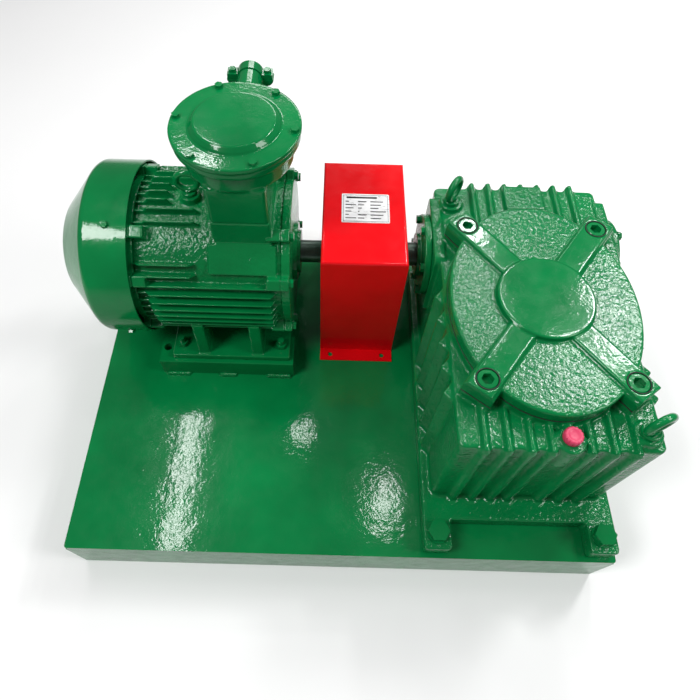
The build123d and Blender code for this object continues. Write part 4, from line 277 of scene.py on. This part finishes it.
def moulded(name, light, dark, roughness=0.5, grain=0.3):
    """Moulded plastic or rubber with a fine skin."""
    look = Shader(name)
    skin = look.noise(420.0, 4.0)
    look.set(Base_Color=look.blend(look.noise(30.0, 3.0), dark, light))
    look.set(Roughness=look.ramp(skin, 0.3, 0.7, roughness - 0.08, roughness + 0.10))
    look.set(Normal=look.bump(skin, 0.0003 * grain))
    return look.material


SEGMENT_TOP, SPOKE_TOP, SPOKE_GRAIN = 0.4945, 0.4975, 0.12
BARREL_R, FIN_R, FIN_GRAIN = 0.155, 0.164, 0.25


def on_segments(look):
    """1 on the cover's low segments and its rim, 0 on its spokes and centre."""
    return look.ramp(look.coordinate(2), SEGMENT_TOP, SPOKE_TOP, 1.0, SPOKE_GRAIN)


def on_barrel(look):
    """1 on the motor's barrel between the fins, less on the fins themselves."""
    across = look.math("SUBTRACT", look.coordinate(1), MOTOR_AXIS_Y)
    above = look.math("SUBTRACT", look.coordinate(2), MOTOR_AXIS_Z)
    square = look.math("ADD", look.math("MULTIPLY", across, across), look.math("MULTIPLY", above, above))
    return look.ramp(look.math("SQRT", square), BARREL_R, FIN_R, 1.0, FIN_GRAIN)


LOOKS = {
    "enamel_cast": enamel("enamel_cast", GREEN, GREEN_DARK, 0.60, chips=0.02),
    "enamel_cover": enamel("enamel_cover", GREEN, GREEN_DARK, 0.55, on_segments, 0.01),
    "enamel_motor": enamel("enamel_motor", GREEN, GREEN_DARK, 1.0, on_barrel),
    "enamel_smooth": enamel("enamel_smooth", GREEN, GREEN_DARK, 0.05),
    "enamel_red": enamel("enamel_red", RED, RED_DARK, 0.05),
    "bare_steel": metal("bare_steel", (0.42, 0.42, 0.43), (0.26, 0.26, 0.27)),
    "oiled_steel": metal("oiled_steel", (0.10, 0.13, 0.11), (0.03, 0.07, 0.05), 0.36, metallic=0.85),
    "bare_iron": metal("bare_iron", (0.17, 0.17, 0.18), (0.10, 0.10, 0.10), 0.48, metallic=0.8),
    "core_steel": metal("core_steel", (0.24, 0.24, 0.26), (0.16, 0.16, 0.18), 0.42, (14.0, 1.0, 1.0)),
    "copper": metal("copper", (0.62, 0.25, 0.10), (0.40, 0.14, 0.06), 0.38, (1.0, 1.0, 9.0)),
    "bronze": metal("bronze", (0.58, 0.36, 0.14), (0.40, 0.24, 0.09), 0.34),
    "fan_plastic": moulded("fan_plastic", (0.035, 0.035, 0.035), (0.020, 0.020, 0.020)),
    "board": moulded("board", (0.36, 0.10, 0.05), (0.26, 0.07, 0.03)),
    "elastomer": moulded("elastomer", (0.60, 0.22, 0.03), (0.44, 0.15, 0.02)),
    # black rubber, also worn by the rings of painted shade in the cover's screw gaps
    "rubber_and_gap_shade": moulded("rubber_and_gap_shade", (0.024, 0.024, 0.024), (0.014, 0.014, 0.014), 0.6),
    "plug_plastic": moulded("plug_plastic", (0.70, 0.055, 0.14), (0.58, 0.035, 0.10), 0.42),
    "plate_metal": metal("plate_metal", (0.74, 0.74, 0.74), (0.62, 0.62, 0.62), 0.34, (0.1, 1.0, 1.0)),
    "ink": moulded("ink", (0.04, 0.04, 0.04), (0.02, 0.02, 0.02), 0.5),
}

# which look each CAD node wears; every other node is smooth green enamel
WEARS = {
    "enamel_cast": (
        "gearbox_housing", "blind_bearing_cap", "input_bearing_cap", "output_bearing_cap",
        "motor_drive_end_shield", "motor_rear_end_shield", "motor_bearing_cap",
    ),
    "enamel_cover": ("gearbox_cover",),
    "enamel_motor": ("motor_frame",),
    "enamel_red": ("coupling_guard",),
    "oiled_steel": ("motor_shaft", "worm_shaft"),
    "bare_steel": (
        "motor_shaft_key", "input_shaft_key", "output_shaft", "worm_wheel_key",
        "wheel_rim_screws", "output_shaft_spacer", "bearing_outer_rings", "bearing_balls",
        "motor_bearing_inner_rings", "worm_bearing_inner_rings", "output_bearing_inner_rings",
    ),
    "bare_iron": ("coupling_motor_half", "coupling_gearbox_half", "worm_wheel_centre"),
    "core_steel": ("motor_stator_core", "motor_rotor_core"),
    "copper": ("motor_stator_windings",),
    "bronze": ("worm_wheel_rim", "terminal_studs"),
    "fan_plastic": ("motor_cooling_fan",),
    "board": ("terminal_board",),
    "elastomer": ("coupling_spider",),
    "rubber_and_gap_shade": ("input_oil_seal", "output_oil_seal", "cover_gasket"),
    "plug_plastic": ("oil_filler_plug",),
    "plate_metal": ("guard_nameplate",),
}
# castings whose edges are rounded all over: voxel size and smoothing passes
CASTINGS = {
    "gearbox_housing": (2.6, 5), "gearbox_cover": (1.6, 4), "motor_frame": (2.0, 3),
    "motor_drive_end_shield": (2.0, 3), "motor_rear_end_shield": (2.0, 3),
    "terminal_box_body": (2.0, 5), "terminal_box_lid": (1.6, 4),
    "blind_bearing_cap": (1.6, 3), "input_bearing_cap": (1.6, 3), "cable_gland": (1.3, 2),
}
EDGE_ROUND, EDGE_ANGLE = 0.7 * MM, math.radians(40)


def dress_nodes():
    """Give every CAD node its look, and soften its edges as casting, or as machined metal."""
    look_of = {node: look for look, names in WEARS.items() for node in names}
    for name, node in nodes.items():
        node.data.materials.clear()
        node.data.materials.append(LOOKS[look_of.get(name, "enamel_smooth")])
        if name in CASTINGS:
            voxel, passes = CASTINGS[name]
            remesh = node.modifiers.new("casting", "REMESH")
            remesh.mode = "VOXEL"
            remesh.voxel_size = voxel * MM
            remesh.use_smooth_shade = True
            smooth = node.modifiers.new("rounding", "SMOOTH")
            smooth.iterations = passes
        else:
            bevel = node.modifiers.new("edges", "BEVEL")
            bevel.width = EDGE_ROUND
            bevel.segments = 2
            bevel.limit_method = "ANGLE"
            bevel.angle_limit = EDGE_ANGLE
            bevel.harden_normals = True


# ---------------------------------------------------------------- small pieces
def finished(name, mesh, look, body):
    """Object from a bmesh, wearing a look and riding on a body."""
    data = bpy.data.meshes.new(name)
    bmesh.ops.recalc_face_normals(mesh, faces=mesh.faces)
    mesh.to_mesh(data)
    mesh.free()
    for face in data.polygons:
        face.use_smooth = True
    data.materials.append(LOOKS[look])
    piece = bpy.data.objects.new(name, data)
    bpy.context.collection.objects.link(piece)
    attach(piece, body)
    return piece


def islands(name):
    """(lowest, highest) corner of each separate solid of a CAD node."""
    mesh = bmesh.new()
    mesh.from_mesh(nodes[name].data)
    bmesh.ops.remove_doubles(mesh, verts=mesh.verts, dist=0.01 * MM)
    waiting = set(mesh.verts)
    found = []
    while waiting:
        group = [waiting.pop()]
        for vert in group:
            linked = {edge.other_vert(vert) for edge in vert.link_edges} & waiting
            waiting -= linked
            group.extend(linked)
        spots = [vert.co for vert in group]
        low = Vector([min(spot[axis] for spot in spots) for axis in range(3)])
        high = Vector([max(spot[axis] for spot in spots) for axis in range(3)])
        found.append((low, high))
    mesh.free()
    return sorted(found, key=lambda pair: tuple(round(value, 4) for value in pair[0]))


def swept(mesh, stations, close=False):
    """Skin a row of equal rings of points, capped at both ends unless closed on itself."""
    rings = [[mesh.verts.new(point) for point in ring] for ring in stations]
    pairs = list(zip(rings, rings[1:]))
    if close:
        pairs.append((rings[-1], rings[0]))
    for first, second in pairs:
        for index in range(len(first)):
            after = (index + 1) % len(first)
            mesh.faces.new((first[index], first[after], second[after], second[index]))
    if not close:
        mesh.faces.new(list(reversed(rings[0])))
        mesh.faces.new(rings[-1])


RING_STEPS, WIRE_SIDES = 72, 8


def ring_piece(name, centre, radius, wire, look, body):
    """Thin ring lying flat round a vertical axis."""
    mesh = bmesh.new()
    stations = []
    for step in range(RING_STEPS):
        angle = 2 * math.pi * step / RING_STEPS
        outward = Vector((math.cos(angle), math.sin(angle), 0))
        middle = Vector(centre) + outward * radius
        ring = []
        for side in range(WIRE_SIDES):
            turn = 2 * math.pi * side / WIRE_SIDES
            ring.append(middle + outward * (wire * math.cos(turn)) + Vector((0, 0, wire * math.sin(turn))))
        stations.append(ring)
    swept(mesh, stations, close=True)
    finished(name, mesh, look, body)


BEAD_STEP, BEAD_SIDES, ROOT_SINK = 1.1 * MM, 10, 0.5 * MM
BEAD_FLAT, BEAD_CROWN = 0.80, 0.16  # reach at the legs, and what the middle adds, as shares of the leg
RIPPLE_PITCH, RIPPLE_SHARE = 4.2 * MM, 0.10
BUMP_SHARE, BUMP_SPREAD, BUMP_RATE = 0.22, 50, 120
TAPER_RATE, TAPER_START = 8, 0.45


def weld_bead(name, start, end, leg, up, out):
    """Fillet weld: a rippled half-round bead between two points, filling the corner of two faces."""
    start, end = Vector(start), Vector(end)
    length = (end - start).length
    along = (end - start).normalized()
    up, out = Vector(up), Vector(out)
    steps = max(4, int(length / BEAD_STEP))
    mesh = bmesh.new()
    stations = []
    for step in range(steps + 1):
        share = step / steps
        ripple = 1 + RIPPLE_SHARE * math.sin(2 * math.pi * share * length / RIPPLE_PITCH)
        lump = BUMP_SHARE * noise.noise(start * BUMP_SPREAD + along * share * length * BUMP_RATE)
        taper = min(1.0, TAPER_RATE * min(share, 1 - share) + TAPER_START)
        size = leg * (ripple + lump) * taper
        centre = start + along * (share * length)
        ring = [centre - (up + out) * ROOT_SINK]
        for side in range(BEAD_SIDES + 1):
            angle = 0.5 * math.pi * side / BEAD_SIDES
            reach = size * (BEAD_FLAT + BEAD_CROWN * math.sin(2 * angle))
            ring.append(centre + out * (reach * math.cos(angle)) + up * (reach * math.sin(angle)))
        stations.append(ring)
    swept(mesh, stations)
    return finished(name, mesh, "enamel_smooth", "frame")


def add_welds():
    """Stitch welds along both motor pads, standing for the plain CAD beads."""
    axis_y = sum(corner[1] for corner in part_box("motor_pads")) / 2
    for index, (low, high) in enumerate(islands("weld_beads")):
        side = 1 if low.y > axis_y else -1
        edge = low.y if side > 0 else high.y
        bead = weld_bead(
            f"pad_weld_{index}", (low.x, edge, low.z), (high.x, edge, low.z), (high.z - low.z),
            (0, 0, 1), (0, side, 0),
        )
        if index == 0:
            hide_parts("weld_beads")


DECK_SEAM = (-367.0, -391.0, -72.0)  # x, first and last y of the deck plate's ground-down joint
SEAM_LEG, SEAM_DASH, SEAM_GAP = 1.6 * MM, 34 * MM, 9 * MM


def add_deck_seam():
    """Dashed, nearly flush joint across the deck plate."""
    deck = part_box("base_plate")[1][2]
    x, start, end = (value * MM for value in DECK_SEAM)
    for index in range(int((end - start) / (SEAM_DASH + SEAM_GAP))):
        y = start + index * (SEAM_DASH + SEAM_GAP)
        ends = (x, y, deck), (x, y + SEAM_DASH, deck)
        weld_bead(f"deck_seam_{index}", *ends, SEAM_LEG, (0, 0, 1), (1, 0, 0))


PLUG_HEAD, PLUG_FLUTES, FLUTE_DEPTH = 14 * MM, 14, 0.085
FLUTE_POINTS, FLUTED_BEYOND = 12, 0.83
# (share of the head's radius, depth below its top in mm) from the shank's end to the dished middle
PLUG_PROFILE = (
    (0.62, 34.0), (0.62, 14.0), (0.97, 14.0), (1.0, 12.5), (1.0, 3.5), (0.95, 1.2),
    (0.84, 0.2), (0.70, 0.0), (0.58, 0.6), (0.48, 1.5), (0.25, 1.7), (0.03, 1.7),
)


def add_plug():
    """Fluted moulded filler plug with a crowned, dished head."""
    low, high = (Vector(corner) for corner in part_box("oil_filler_plug"))
    centre = (low + high) / 2
    radius = (high.x - low.x) / 2
    around = FLUTE_POINTS * PLUG_FLUTES
    mesh = bmesh.new()
    stations = []
    for share, depth in PLUG_PROFILE:
        ring = []
        for step in range(around):
            angle = 2 * math.pi * step / around
            fluted = share > FLUTED_BEYOND and depth * MM < PLUG_HEAD
            dip = max(0.0, math.cos(PLUG_FLUTES * angle)) ** 2 if fluted else 0.0
            reach = radius * share * (1 - FLUTE_DEPTH * dip)
            x, y = centre.x + reach * math.cos(angle), centre.y + reach * math.sin(angle)
            ring.append((x, y, high.z - depth * MM))
        stations.append(ring)
    swept(mesh, stations)
    plug = finished("filler_plug", mesh, "plug_plastic", "frame")
    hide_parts("oil_filler_plug")


def box_piece(mesh, low, high):
    """One closed box between two corners."""
    low, high = Vector(low), Vector(high)
    place = Matrix.Translation((low + high) / 2) @ Matrix.Diagonal((*(high - low), 1.0))
    bmesh.ops.create_cube(mesh, size=1.0, matrix=place)


MARK_SINK, MARK_RISE = 0.1 * MM, 0.2 * MM
PLATE_INSET, PLATE_RULE = 3 * MM, 0.8 * MM
RIVET_INSET, RIVET_R, RIVET_FLAT = 5.6 * MM, 2.1 * MM, 0.5
MARK_ROWS, MARK_FIRST, MARK_PITCH, MARK_HEIGHT = 6, 0.14, 0.115, 0.030  # shares of the plate's depth
MARK_COLUMNS = ((0.08, 0.30), (0.34, 0.52), (0.60, 0.92))  # shares of its width
HEADING = ((0.10, 0.84), (0.74, 0.90))
MARK_SHORTER = 0.05


def add_nameplate():
    """Blank generic plate: a raised rim, rules and bars without any lettering, and four rivets."""
    low, high = (Vector(corner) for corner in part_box("guard_nameplate"))
    width, depth = high.x - low.x, high.y - low.y
    mesh = bmesh.new()

    def mark(first, second):
        """Raised bar between two corners given as shares of the plate."""
        start = (low.x + width * first[0], low.y + depth * first[1], high.z - MARK_SINK)
        box_piece(mesh, start, (low.x + width * second[0], low.y + depth * second[1], high.z + MARK_RISE))

    side, end = PLATE_INSET / width, PLATE_INSET / depth
    thin_x, thin_y = PLATE_RULE / width, PLATE_RULE / depth
    mark((side, end), (1 - side, end + thin_y))
    mark((side, 1 - end - thin_y), (1 - side, 1 - end))
    mark((side, end), (side + thin_x, 1 - end))
    mark((1 - side - thin_x, end), (1 - side, 1 - end))
    mark(*HEADING)
    for row in range(MARK_ROWS):
        bottom = MARK_FIRST + MARK_PITCH * row
        for column, (start, stop) in enumerate(MARK_COLUMNS):
            shorter = MARK_SHORTER * ((row * 3 + column * 5) % 4)
            mark((start, bottom), (stop - shorter, bottom + MARK_HEIGHT))
    finished("nameplate_marks", mesh, "ink", "frame")
    mesh = bmesh.new()
    for x in (low.x + RIVET_INSET, high.x - RIVET_INSET):
        for y in (low.y + RIVET_INSET, high.y - RIVET_INSET):
            made = bmesh.ops.create_uvsphere(mesh, u_segments=18, v_segments=9, radius=RIVET_R)
            for vert in made["verts"]:
                vert.co.z *= RIVET_FLAT
                vert.co += Vector((x, y, high.z))
    finished("nameplate_rivets", mesh, "plate_metal", "frame")


SCREW_GAP_R, SCREW_GAP_WIRE, SCREW_GAP_DEPTH = 19.6 * MM, 0.9 * MM, 4.0 * MM


def add_cover_gap_shade_rings():
    """Dark ring of painted shade in the gap round each sunk screw of the gearbox cover."""
    cover_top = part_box("gearbox_cover")[1][2]
    for index, (low, high) in enumerate(islands("cover_bolts")):
        centre = (low + high) / 2
        at = (centre.x, centre.y, cover_top - SCREW_GAP_DEPTH)
        ring_piece(f"screw_gap_shade_{index}", at, SCREW_GAP_R, SCREW_GAP_WIRE, "rubber_and_gap_shade", "frame")


add_camera()
add_studio()
dress_nodes()
add_welds()
add_deck_seam()
add_plug()
add_nameplate()
add_cover_gap_shade_rings()
bpy.context.view_layer.update()
